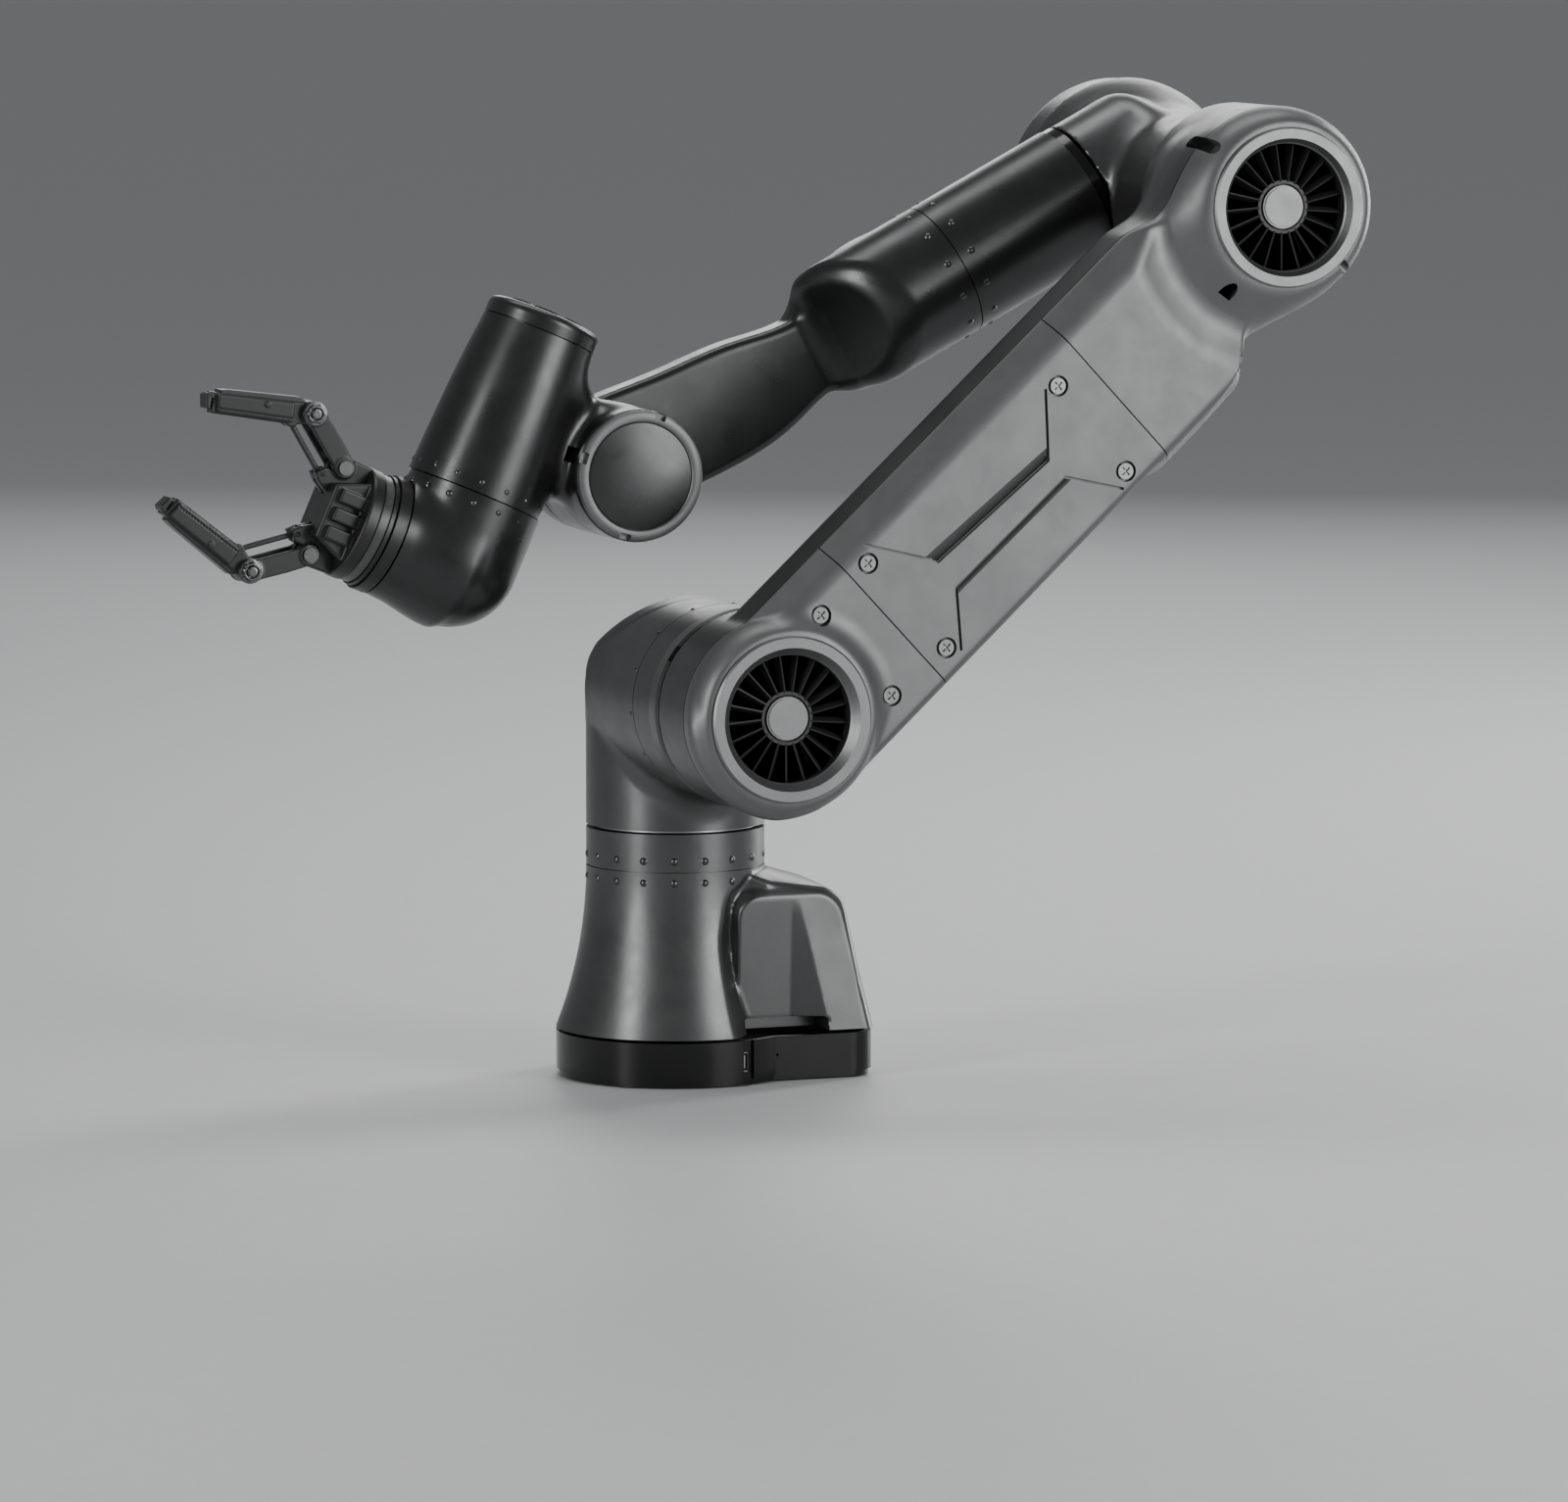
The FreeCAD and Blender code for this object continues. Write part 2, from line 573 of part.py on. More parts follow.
def vent_ring(scale):
    """Bright face ring, sloping dark mouth and the barrel behind it."""
    outer = 37.2 * scale
    face_in = 32.0 * scale
    lip = 28.6
    profile = [(32.3, 126), (32.3, 156.05), (outer - 0.2, 156.05), (outer, 157.2), (outer - 0.8, VENT_Y),
               (face_in, VENT_Y), (lip + 0.6, 154.6), (lip, 154.0), (lip, 152.6), (30.0, 151.4), (30.0, 126)]
    return spun_profile([V(r, y, 0) for r, y in profile], Y_AXIS)


def vane_guard():
    """Thin fixed radial vanes between a hub and a rim."""
    rim = tube_y(29.9, 28.6, 146.5, 151.3)
    hub = joined(cyl_y(12.0, 145.5, 147.5), tube_y(12.0, 10.6, 145.5, 150.2))
    vane = block(11.5, 29.0, 146.8, 150.8, -0.4, 0.4)
    vane.rotate(V(20, 148.8, 0), X_AXIS, 24)
    return joined(rim, hub, *spoked(vane, Y_AXIS, ORIGIN, 21))


def fan_rotor():
    """Nine pitched blades on a hub and a short axle."""
    hub = cyl_y(10.5, 131, 142)
    axle = cyl_y(2.0, 124, 145.0)
    blade = block(9.5, 26.5, 136, 137.4, -5.5, 5.5)
    blade.rotate(V(18, 136.7, 0), X_AXIS, 32)
    return joined(hub, axle, *spoked(blade, Y_AXIS, ORIGIN, 9))


def make_vents():
    cap = joined(cyl_y(9.7, 147.5, 150.6), cyl_y(8.9, 150.6, 151.2))
    save_arm("hub_caps", Part.makeCompound([cap, shifted(cap, 0, 0, ARM_LENGTH)]))
    for name, scale, z in (("shoulder", 1.0, 0.0), ("elbow", 0.97, ARM_LENGTH)):
        save_arm(name + "_vent_ring", shifted(vent_ring(scale), 0, 0, z))
        save_arm(name + "_vanes", shifted(vane_guard(), 0, 0, z))
        save_arm(name + "_fan", shifted(fan_rotor(), 0, 0, z))


def make_arm_drives():
    hub = joined(cyl_y(28.0, 54, ARM_BACK_Y), cyl_y(36.0, HEAD_END_Y + 0.5, ARM_BACK_Y),
                 cyl_y(28.0, ARM_BACK_Y, ARM_BACK_Y + 4))
    save_arm("arm_hub", hub.cut(cyl_y(16, 40, 130)))
    motor = tube_y(40.0, 26.0 + FIT, ELBOW_GAP_Y + 3, 121.5, 0, ARM_LENGTH)
    save_arm("j3_motor", motor)


# ---- elbow and forearm (local frame: level, elbow axis at the origin) ------
def knuckle_body(inset):
    """A waisted barrel on the elbow axis, wide at its back."""
    end = KNUCKLE_END_Y - inset
    back = DISC_SEAM_Y + SEAM
    waist = [(41.5, end), (38.6, 62), (38.2, 36), (42.0, 4), (DISC_R, -30)]
    side = curve([V(r - inset, y, 0) for r, y in waist])
    edges = [side, Part.makeLine(V(DISC_R - inset, -30, 0), V(DISC_R - inset, back + inset, 0)),
             Part.makeLine(V(DISC_R - inset, back + inset, 0), V(0, back + inset, 0)),
             Part.makeLine(V(0, back + inset, 0), V(0, end, 0)),
             Part.makeLine(V(0, end, 0), V(41.5 - inset, end, 0))]
    return spun(edges, Y_AXIS)


def make_elbow():
    socket = cyl_x(TUBE_R - 0.6, 0, SOCKET_END, FOREARM_Y, FOREARM_RISE)
    body = joined(knuckle_body(0), socket)
    hollow = joined(knuckle_body(BASE_WALL), cyl_x(28.0, -5, SOCKET_END + 1, FOREARM_Y, FOREARM_RISE))
    hollow = joined(hollow, cyl_y(DISC_R - 6, DISC_SEAM_Y - 1, -20))
    seat_r = TUBE_R + 0.7
    seat = cyl_x(seat_r, SOCKET_END, 80, FOREARM_Y, FOREARM_RISE)
    seat_wall = cyl_x(seat_r + BASE_WALL, SOCKET_END - BASE_WALL, 80, FOREARM_Y, FOREARM_RISE)
    seat_wall = seat_wall.common(knuckle_body(0)).cut(cyl_x(28.0, 0, 80, FOREARM_Y, FOREARM_RISE))
    body = joined(body.cut(hollow), seat_wall).cut(seat)
    save_forearm("elbow_knuckle", body.cut(cyl_y(26.0, 60, 100)))

    cap = cyl_y(DISC_R, DISC_BACK_Y, DISC_SEAM_Y)
    cap = rounded(cap, 7, lambda e, c: abs(c.y - DISC_BACK_Y) < 0.1 and e.Length > 100)
    cap = cap.cut(cyl_y(DISC_R - WALL, DISC_BACK_Y + WALL, DISC_SEAM_Y + 1))
    cap = joined(cap, tube_y(DISC_R - 6.1, DISC_R - 8, DISC_SEAM_Y - 6, DISC_SEAM_Y + 4),
                 tube_y(DISC_R - 2, DISC_R - 8, DISC_SEAM_Y - 3, DISC_SEAM_Y))
    groove = tube_y(40, 38.8, DISC_BACK_Y - 1, DISC_BACK_Y + 0.8)
    save_forearm("elbow_cap", cap.cut(groove))
    hub = joined(cyl_y(26.0, KNUCKLE_END_Y - 3, 119), cyl_y(34.0, KNUCKLE_END_Y - 7, KNUCKLE_END_Y - 3))
    save_forearm("elbow_hub", hub.cut(cyl_y(15, 40, 130)))
    motor = tube_x(27.9, 16.0 + FIT, 4, SOCKET_END - 1, FOREARM_Y, FOREARM_RISE)
    save_forearm("j4_motor", motor)


def ring_about_x(one, x, radius, y, z, count):
    """Screws or seats that point outward around an X axis."""
    one.rotate(ORIGIN, Y_AXIS, -90)
    one.translate(V(x, y, z + radius))
    return spoked(one, X_AXIS, V(x, y, z), count, 15)


def ring_screws(x, radius, y, z, count, size):
    """Domed screws around an X axis."""
    shank = cyl_x(size * 0.75, -2.6, 0.1)
    dome = Part.makeSphere(size * 1.3, V(-size * 0.85, 0, 0)).common(cyl_x(size, -0.3, 2))
    return ring_about_x(joined(shank, dome), x, radius, y, z, count)


def ring_seats(x, radius, y, z, count, size):
    """The holes and head recesses of the same screws."""
    seat = joined(cyl_x(size * 0.75, -2.6, 0.1), cyl_x(size, -0.3, 3))
    return ring_about_x(seat, x, radius, y, z, count)


def forearm_screw_list():
    out = []
    for x in (TUBE_SEAM - 6.5, TUBE_SEAM + 6.5):
        out += ring_screws(x, TUBE_R, FOREARM_Y, FOREARM_RISE, 12, 1.7)
    return out


def blade_plate(inset, y0, y1):
    """The flat link from the tube to the wrist axis."""
    end = FOREARM_REACH - 4
    top = [(132, 30), (150, 46.5), (166, 38), (186, 34.3), (215, 39.8), (250, 44), (280, 48.5), (end, 50.5)]
    low = [(132, 0), (148, -12), (162, -8.6), (178, -4.6), (203, -9.4), (232, -12.2), (264, -10.2),
           (end, -7.3)]
    upper = curve([V(x, y0, z - inset) for x, z in top])
    lower = curve([V(x, y0, z + inset) for x, z in low])
    ends = [Part.makeLine(upper.Vertexes[0].Point, lower.Vertexes[0].Point),
            Part.makeLine(upper.Vertexes[-1].Point, lower.Vertexes[-1].Point)]
    face = Part.Face(Part.Wire(Part.__sortEdges__([upper, lower] + ends)))
    plate = face.extrude(V(0, y1 - y0, 0))
    return joined(plate, cyl_y(BLADE_EYE_R - inset, y0, y1, FOREARM_REACH, FOREARM_RISE))


def tube_end(inset):
    """The tube past its seam, cut on a slope towards the blade."""
    tube = cyl_x(TUBE_R - inset, TUBE_SEAM, 178, FOREARM_Y, FOREARM_RISE)
    slope = block(0, 90, -90, 90, -80, 80)
    slope.rotate(ORIGIN, Z_AXIS, 33)
    slope.translate(V(TUBE_END - inset, FOREARM_Y + TUBE_R, FOREARM_RISE))
    cut = tube.cut(slope)
    below = block(160, 200, -40, 60, -40, 80)
    return cut.cut(below)


def make_forearm():
    ring = tube_x(TUBE_R - 0.4, 26, RING_START, RING_END, FOREARM_Y, FOREARM_RISE)
    save_forearm("forearm_ring", ring)
    screws = forearm_screw_list()
    tube = tube_x(TUBE_R, TUBE_R - WALL, RING_END, TUBE_SEAM - SEAM / 2, FOREARM_Y, FOREARM_RISE)
    lip = tube_x(TUBE_R - 0.8, TUBE_R - WALL, TUBE_SEAM - 2, TUBE_SEAM + SEAM / 2, FOREARM_Y, FOREARM_RISE)
    tube = joined(tube, lip)
    flange = tube_x(TUBE_R - 1, 16, RING_END, RING_END + 4, FOREARM_Y, FOREARM_RISE)
    tube = joined(tube, flange)
    seats = ring_seats(TUBE_SEAM - 6.5, TUBE_R, FOREARM_Y, FOREARM_RISE, 12, 1.7)
    save_forearm("forearm_tube", tube.cut(Part.makeCompound(seats)))

    body = joined(tube_end(0), blade_plate(0, BLADE_BACK_Y, BLADE_FRONT_Y))
    hollow = joined(tube_end(WALL).cut(block(100, TUBE_SEAM + SEAM / 2, -60, 60, -60, 80)),
                    cyl_x(TUBE_R - WALL, TUBE_SEAM - 5, TUBE_SEAM + 10, FOREARM_Y, FOREARM_RISE))
    channel = blade_plate(4.0, BLADE_BACK_Y + WALL, BLADE_FRONT_Y - WALL)
    body = body.cut(hollow).cut(channel).cut(block(60, TUBE_SEAM + SEAM / 2, -60, 60, -60, 80))
    body = body.cut(cyl_y(12.0, -30, 10, FOREARM_REACH, FOREARM_RISE))
    seats = ring_seats(TUBE_SEAM + 6.5, TUBE_R, FOREARM_Y, FOREARM_RISE, 12, 1.7)
    save_forearm("forearm_blade", body.cut(Part.makeCompound(seats)))
    save_forearm("forearm_screws", Part.makeCompound(screws))
    shaft = joined(cyl_x(16.0, 6, RING_END + 4, FOREARM_Y, FOREARM_RISE),
                   cyl_x(24.0, RING_END + 4, RING_END + 8, FOREARM_Y, FOREARM_RISE),
                   cyl_x(25.5, RING_START, RING_END, FOREARM_Y, FOREARM_RISE))
    save_forearm("forearm_shaft", shaft.cut(cyl_x(8, 0, 80, FOREARM_Y, FOREARM_RISE)))
    pin = joined(cyl_y(12.0, BLADE_BACK_Y, 44, FOREARM_REACH, FOREARM_RISE),
                 cyl_y(20.0, BLADE_BACK_Y - 1.5, BLADE_BACK_Y, FOREARM_REACH, FOREARM_RISE))
    save_forearm("wrist_pin", pin.cut(cyl_y(6, -40, 60, FOREARM_REACH, FOREARM_RISE)))


# ---- wrist (local frame: upright, wrist axis at the origin) ----------------
def wrist_column(inset, z0, z1):
    """The wrist body, slightly narrower towards its cap."""
    taper = [(31.4, z0), (30.4, -12), (28.8, 17), (26.4, z1)]
    side = curve([V(r - inset, 0, z) for r, z in taper])
    edges = [side,
             Part.makeLine(V(26.4 - inset, 0, z1), V(0, 0, z1)),
             Part.makeLine(V(0, 0, z1), V(0, 0, z0)),
             Part.makeLine(V(0, 0, z0), V(31.4 - inset, 0, z0))]
    return shifted(spun(edges, Z_AXIS), BODY_X, WRIST_Y, 0)


def wrist_screw_list():
    """Domed screws on both sides of the wrist seam."""
    out = []
    for z, radius in ((WRIST_SEAM_Z + 5, 31.0), (WRIST_SEAM_Z - 5, 31.1)):
        for one in ring_screws(0, radius, 0, 0, 16, 1.5):
            one.rotate(ORIGIN, Y_AXIS, 90)
            one.translate(V(BODY_X, WRIST_Y, z))
            out.append(one)
    return out


def wrist_neck(inset):
    """The web between the wrist barrel and the wrist body."""
    web = block(0, BODY_X, 4 + inset, 52 - inset, -22 + inset, 30 - inset)
    bite_top = cyl_y(17 + inset, 0, 60, 31, 50.5)
    bite_low = cyl_y(15 + inset, 0, 60, 27, -40)
    return web.cut(bite_top).cut(bite_low)


def make_wrist():
    screws = wrist_screw_list()
    barrel = cyl_y(BARREL_R, BARREL_BACK_Y, BARREL_FRONT_Y)
    body = joined(wrist_column(0, WRIST_SEAM_Z + SEAM / 2, WRIST_CAP_Z), barrel, wrist_neck(0))
    hollow = joined(wrist_column(WALL, WRIST_SEAM_Z - 2, WRIST_CAP_Z + 2), wrist_neck(WALL))
    hollow = joined(hollow, cyl_y(BARREL_R - WALL, BARREL_BACK_Y + WALL, BARREL_FRONT_Y + 1))
    body = body.cut(hollow).cut(cyl_y(13.0, -10, 10))
    seam_line = tube_y(BARREL_R + 2, BARREL_R - 0.6, BARREL_SEAM_Y, BARREL_SEAM_Y + 0.6).cut(
        block(20, 80, 0, 60, -60, 60))
    window = block(-BARREL_R - 2, -BARREL_R + 3, BARREL_FRONT_Y - 9, BARREL_FRONT_Y + 1, -3, 3)
    window.rotate(ORIGIN, Y_AXIS, 160)
    body = body.cut(seam_line).cut(window)
    save_wrist("wrist_housing", body.cut(Part.makeCompound(screws)))

    knee = V(BODY_X - 1.5, WRIST_Y, TOOL_Z + 2.5)
    ball_axis = V(1, 0, -1)
    stub = Part.makeCone(CORNER_R, 31.4, WRIST_SEAM_Z - SEAM / 2 - knee.z, knee, Z_AXIS)
    nose = Part.makeCone(CORNER_R - 2.5, 26.8, TOOL_START, V(BODY_X, WRIST_Y, TOOL_Z), X_AXIS)
    corner = joined(stub, Part.makeSphere(CORNER_R + 0.15, knee, ball_axis), nose)
    lip = tube_z(30.4, 28.0, WRIST_SEAM_Z - 4, WRIST_SEAM_Z + SEAM / 2, BODY_X, WRIST_Y)
    inner_stub = Part.makeCone(CORNER_R - WALL, 28.6, WRIST_SEAM_Z + 1 - knee.z, knee, Z_AXIS)
    inner_nose = cyl_x(24.0, BODY_X, BODY_X + TOOL_START + 1, WRIST_Y, TOOL_Z)
    hollow = joined(inner_stub, Part.makeSphere(CORNER_R - WALL + 0.15, knee, ball_axis), inner_nose)
    corner = joined(corner.cut(hollow), lip)
    save_wrist("wrist_corner", corner.cut(Part.makeCompound(screws)))
    save_wrist("wrist_screws", Part.makeCompound(screws))

    cap = cyl_z(26.4, WRIST_CAP_Z + SEAM, WRIST_CAP_Z + 9, BODY_X, WRIST_Y)
    cap = rounded(cap, 4, lambda e, c: abs(c.z - WRIST_CAP_Z - 9) < 0.1 and e.Length > 100)
    cap = joined(cap, cyl_z(23.8, WRIST_CAP_Z - 3, WRIST_CAP_Z + 2, BODY_X, WRIST_Y),
                 cyl_z(17.0, WRIST_CAP_Z + 8, WRIST_CAP_Z + 10.2, BODY_X, WRIST_Y))
    cap = cap.cut(cyl_z(22.0, WRIST_CAP_Z - 4, WRIST_CAP_Z + 6.5, BODY_X, WRIST_Y))
    port = cyl_z(2.2, WRIST_CAP_Z + 8.6, WRIST_CAP_Z + 12, BODY_X + 9, WRIST_Y)
    ports = spoked(port, Z_AXIS, V(BODY_X, WRIST_Y, 0), 3, 35)
    save_wrist("wrist_cap", cap.cut(Part.makeCompound(ports)))

    ring = tube_y(BARREL_R - 0.6, 24.3, BARREL_FRONT_Y, BARREL_FRONT_Y + 3.4)
    ring = rounded(ring, 1.2, lambda e, c: c.y > BARREL_FRONT_Y + 3.3 and e.Length > 175)
    notch = block(BARREL_R - 3.2, BARREL_R + 2, BARREL_FRONT_Y + 0.6, BARREL_FRONT_Y + 5, -2.4, 2.4)
    notches = spoked(notch, Y_AXIS, ORIGIN, 3, 82)
    ring = ring.cut(Part.makeCompound(notches))
    save_wrist("wrist_cover_ring", joined(ring, tube_y(27.4, 24.3, BARREL_FRONT_Y - 3, BARREL_FRONT_Y + 1)))
    dome_r = 140.0
    dome = Part.makeSphere(dome_r, V(0, BARREL_FRONT_Y + 4.6 - dome_r, 0)).common(
        cyl_y(24.0, BARREL_FRONT_Y - 2, BARREL_FRONT_Y + 8))
    save_wrist("wrist_cover_disc", dome)
    save_wrist("j5_motor", tube_y(27.4, 12.0 + FIT, 6, 45))
    motor = tube_x(23.9, 11.0 + FIT, BODY_X + 4, BODY_X + TOOL_START - 1.5, WRIST_Y, TOOL_Z)
    save_wrist("j6_motor", motor)


# ---- gripper (local frame: tool corner at the origin, tool axis along +X) --
def save_tool(name, shape):
    save_wrist(name, shifted(shape, BODY_X, WRIST_Y, TOOL_Z))


LUG_HALF = 5.6            # half thickness of palm lugs and finger roots
PLATE_IN = 6.0            # inner face of a link's plates
PLATE_OUT = 8.6
PIN_R = 2.4
PIN_PLAY = 0.08
ROD_HALF = 1.2
ROD_SLOT = 1.7
ROD_PIN_R = 1.3


def make_palm():
    start = TOOL_START + GROOVE * 0.6
    flange = joined(cyl_x(27.2, start, 37), cyl_x(24.8, 37, 40), cyl_x(26.2, 37.8, 39.6),
                    cyl_x(23.6, 40, 44), cyl_x(11.0, 6, start + 1))
    save_tool("tool_flange", flange.cut(cyl_x(5, 0, 39)))
    save_tool("status_ring", tube_x(25.4, 23.6, 40, 44))

    ring = cyl_x(26.0, 44, 50.5)
    ring = rounded(ring, 1.4, lambda e, c: c.x > 50 and e.Length > 100)
    core = plate_xz([(50, -19), (50, 19), (66, 12.5), (66, -12.5)], -15, 15)
    lugs = []
    for s in (1, -1):
        rod_x = PIN_X + ROD_DX
        outer = [(49, 14), (49, 25.5), (PIN_X - 1, 26), (PIN_X + 4, 17), (60, 8)]
        inner = [(60, 4), (60, 19), (rod_x, 18), (rod_x + 3.4, 14), (rod_x, 10.5)]
        lugs.append(joined(cyl_y(5.2, -LUG_HALF, LUG_HALF, PIN_X, s * PIN_Z),
                           plate_xz([(x, s * z) for x, z in outer], -LUG_HALF, LUG_HALF),
                           plate_xz([(x, s * z) for x, z in inner], -LUG_HALF, LUG_HALF)))
    palm = joined(ring, core, *lugs)
    ribs = []
    for z in (-9.5, -3.2, 3.2, 9.5):
        for s in (1, -1):
            ribs.append(block(50, 63, min(s * 14, s * 18.5), max(s * 14, s * 18.5), z - 1.8, z + 1.8))
    palm = joined(palm, *ribs)
    slots = [block(PIN_X + 1.5, 90, -ROD_SLOT, ROD_SLOT, z, z + 23) for z in (7, -30)]
    palm = trimmed(palm, slots + palm_pins(0) + [cyl_x(12.0, 43, 60)])
    save_tool("palm", palm)
    save_tool("palm_pins", Part.makeCompound(palm_pins(1)))
    save_tool("grip_motor", joined(cyl_x(11.8, 44.3, 57), cyl_x(4, 57, 59.5)))


def palm_pins(head):
    """Link and rod pivot pins in the palm; heads outside the link plates."""
    out = []
    for s in (1, -1):
        pin = cyl_y(PIN_R, -PLATE_OUT - 0.4, PLATE_OUT + 0.4, PIN_X, s * PIN_Z)
        if head:
            pin = joined(pin, cyl_y(3.3, PLATE_OUT + 0.4, PLATE_OUT + 1.5, PIN_X, s * PIN_Z),
                         cyl_y(3.3, -PLATE_OUT - 1.5, -PLATE_OUT - 0.4, PIN_X, s * PIN_Z))
        out.append(pin)
        out.append(cyl_y(ROD_PIN_R, -LUG_HALF, LUG_HALF, PIN_X + ROD_DX, s * (PIN_Z + ROD_DZ)))
    return out


def mirrored(shape):
    """The lower half of the gripper mirrors the upper one in the tool's level plane."""
    return shape.mirror(ORIGIN, Z_AXIS)


def link():
    """Two bent plates with a spacer, from the palm pin to the knuckle."""
    outline = [(0, -4.2), (LINK_LENGTH, -4.4), (LINK_LENGTH, 4.6), (LINK_LENGTH * 0.42, 5.0), (0, 4.6)]
    plates = []
    for y0 in (PLATE_IN, -PLATE_OUT):
        y1 = y0 + PLATE_OUT - PLATE_IN
        eyes = [cyl_y(4.9, y0, y1), cyl_y(5.6, y0, y1, LINK_LENGTH, 0)]
        plates.append(joined(plate_xz(outline, y0, y1), *eyes))
    spacer = block(8.6, 19.6, -PLATE_IN - 1, PLATE_IN + 1, -1.9, 2.4)
    body = joined(plates[0], plates[1], spacer)
    body = body.cut(cyl_y(PIN_R + PIN_PLAY, -20, 20)).cut(cyl_y(PIN_R, -20, 20, LINK_LENGTH, 0))
    body.rotate(ORIGIN, Y_AXIS, -LINK_ANGLE)
    return shifted(body, PIN_X, 0, PIN_Z)


KNUCKLE_X = PIN_X + LINK_LENGTH * math.cos(math.radians(LINK_ANGLE))
KNUCKLE_Z = PIN_Z + LINK_LENGTH * math.sin(math.radians(LINK_ANGLE))


def hexagon_nut(radius, y0, y1):
    turns = [math.radians(60 * i) for i in range(6)]
    return plate_xz([(radius * math.cos(a), radius * math.sin(a)) for a in turns], y0, y1)


def knuckle_pin():
    pin = cyl_y(PIN_R, -PLATE_OUT - 3, PLATE_OUT + 3)
    washer_end = PLATE_OUT + 0.8
    stack = [tube_y(5.4, PIN_R - 0.2, PLATE_OUT, washer_end),
             hexagon_nut(4.6, washer_end, PLATE_OUT + 3),
             tube_y(5.4, PIN_R - 0.2, -washer_end, -PLATE_OUT),
             hexagon_nut(4.6, -PLATE_OUT - 3, -washer_end)]
    return shifted(joined(pin, *stack), KNUCKLE_X, 0, KNUCKLE_Z)


def finger():
    """Root eye, rod lug, layered bar with a top rail and a stepped tip."""
    eye = cyl_y(5.2, -LUG_HALF, LUG_HALF)
    bar = plate_xz([(0, -4.4), (9, -6.2), (46, -6.2), (47.5, 3.2), (6, 4.4), (0, 5.0)], -LUG_HALF, LUG_HALF)
    cheek = plate_xz([(9.5, -5.2), (44.5, -5.2), (45.5, 2.6), (9.5, 3.6)], -7.6, 7.6)
    rail = plate_xz([(3, 4.2), (44, 3.0), (44, 4.6), (40, 5.2), (6, 6.4)], -5, 5)
    tip = plate_xz([(44, -5.2), (49.5, -4.4), (50.5, 1.4), (49, 2.6), (44, 2.6)], -5, 5)
    stud = cyl_y(1.5, -8.4, 8.4, 22, 1.2)
    body = joined(eye, bar, cheek, rail, tip, stud)
    body = body.cut(block(46.6, 47.6, -9, 9, -7, 0.8))
    body.rotate(ORIGIN, Y_AXIS, FINGER_LEAN)
    lug_outline = [(0, -4), (2, 3), (ROD_DX + 5, 0), (ROD_DX + 3.2, ROD_DZ - 1), (ROD_DX, ROD_DZ - 3.2)]
    lug = joined(plate_xz(lug_outline, -LUG_HALF, LUG_HALF),
                 cyl_y(3.2, -LUG_HALF, LUG_HALF, ROD_DX, ROD_DZ))
    body = joined(body, lug)
    slot = joined(block(-20, ROD_DX + 4.2, -ROD_SLOT, ROD_SLOT, ROD_DZ - 8, ROD_DZ + 3.8),
                  cyl_y(4.2, -ROD_SLOT, ROD_SLOT, ROD_DX, ROD_DZ))
    body = body.cut(slot)
    body = joined(body, cyl_y(ROD_PIN_R, -LUG_HALF, LUG_HALF, ROD_DX, ROD_DZ))
    body = body.cut(cyl_y(PIN_R + PIN_PLAY, -20, 20))
    return shifted(body, KNUCKLE_X, 0, KNUCKLE_Z)


def rod():
    """A thin bar beside the link, parallel to it, that keeps the finger level."""
    bar = joined(block(0, LINK_LENGTH, -ROD_HALF, ROD_HALF, -1.2, 1.2), cyl_y(2.9, -ROD_HALF, ROD_HALF),
                 cyl_y(2.9, -ROD_HALF, ROD_HALF, LINK_LENGTH, 0))
    bar = bar.cut(cyl_y(ROD_PIN_R + PIN_PLAY, -9, 9)).cut(cyl_y(ROD_PIN_R + 0.35, -9, 9, LINK_LENGTH, 0))
    bar.rotate(ORIGIN, Y_AXIS, -LINK_ANGLE)
    return shifted(bar, PIN_X + ROD_DX, 0, PIN_Z + ROD_DZ)


def make_fingers():
    pieces = {"link": link(), "knuckle_pin": knuckle_pin(), "finger": finger(), "rod": rod()}
    for name, shape in pieces.items():
        save_tool("upper_" + name, shape)
        save_tool("lower_" + name, mirrored(shape))


os.makedirs("parts", exist_ok=True)
make_base()
make_base_housing()
make_neck()
make_turret()
make_arm_shells()
make_vents()
make_arm_drives()
make_elbow()
make_forearm()
make_wrist()
make_palm()
make_fingers()
print("shoulder", tuple(SHOULDER), "elbow", tuple(ELBOW), "wrist", tuple(WRIST))
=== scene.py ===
import json
import math

import bmesh
import bpy
import numpy as np
from mathutils import Matrix, Vector


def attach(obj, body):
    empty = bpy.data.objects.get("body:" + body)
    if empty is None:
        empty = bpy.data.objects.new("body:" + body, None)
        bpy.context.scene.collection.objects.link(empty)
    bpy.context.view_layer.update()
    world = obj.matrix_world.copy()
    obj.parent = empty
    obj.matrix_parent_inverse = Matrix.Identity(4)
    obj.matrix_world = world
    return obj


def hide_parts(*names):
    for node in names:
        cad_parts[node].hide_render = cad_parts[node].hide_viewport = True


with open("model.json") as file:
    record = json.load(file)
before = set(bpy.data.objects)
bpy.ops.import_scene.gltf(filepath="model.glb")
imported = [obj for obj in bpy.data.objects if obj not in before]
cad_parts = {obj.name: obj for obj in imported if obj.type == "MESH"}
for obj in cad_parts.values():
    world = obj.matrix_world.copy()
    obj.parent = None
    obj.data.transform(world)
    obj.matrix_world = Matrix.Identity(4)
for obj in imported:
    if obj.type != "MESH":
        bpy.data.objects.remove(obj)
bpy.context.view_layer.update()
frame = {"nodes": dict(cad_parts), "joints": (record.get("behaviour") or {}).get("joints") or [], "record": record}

# Looks of a desktop robot arm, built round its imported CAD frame.
# Shell shapes are distance fields in millimetres, in the frame of the link they belong to.

MM = 0.001
STEP = 1.1        # grid of the shell surfaces, mm
GAP = 0.6                                 # open seam between two bolted shells, mm
JOINTS = {j["name"]: j for j in frame["joints"]}


# ---- link frames -----------------------------------------------------------
def pivot(joint):
    return Vector(JOINTS[joint]["pos_m"]) / MM


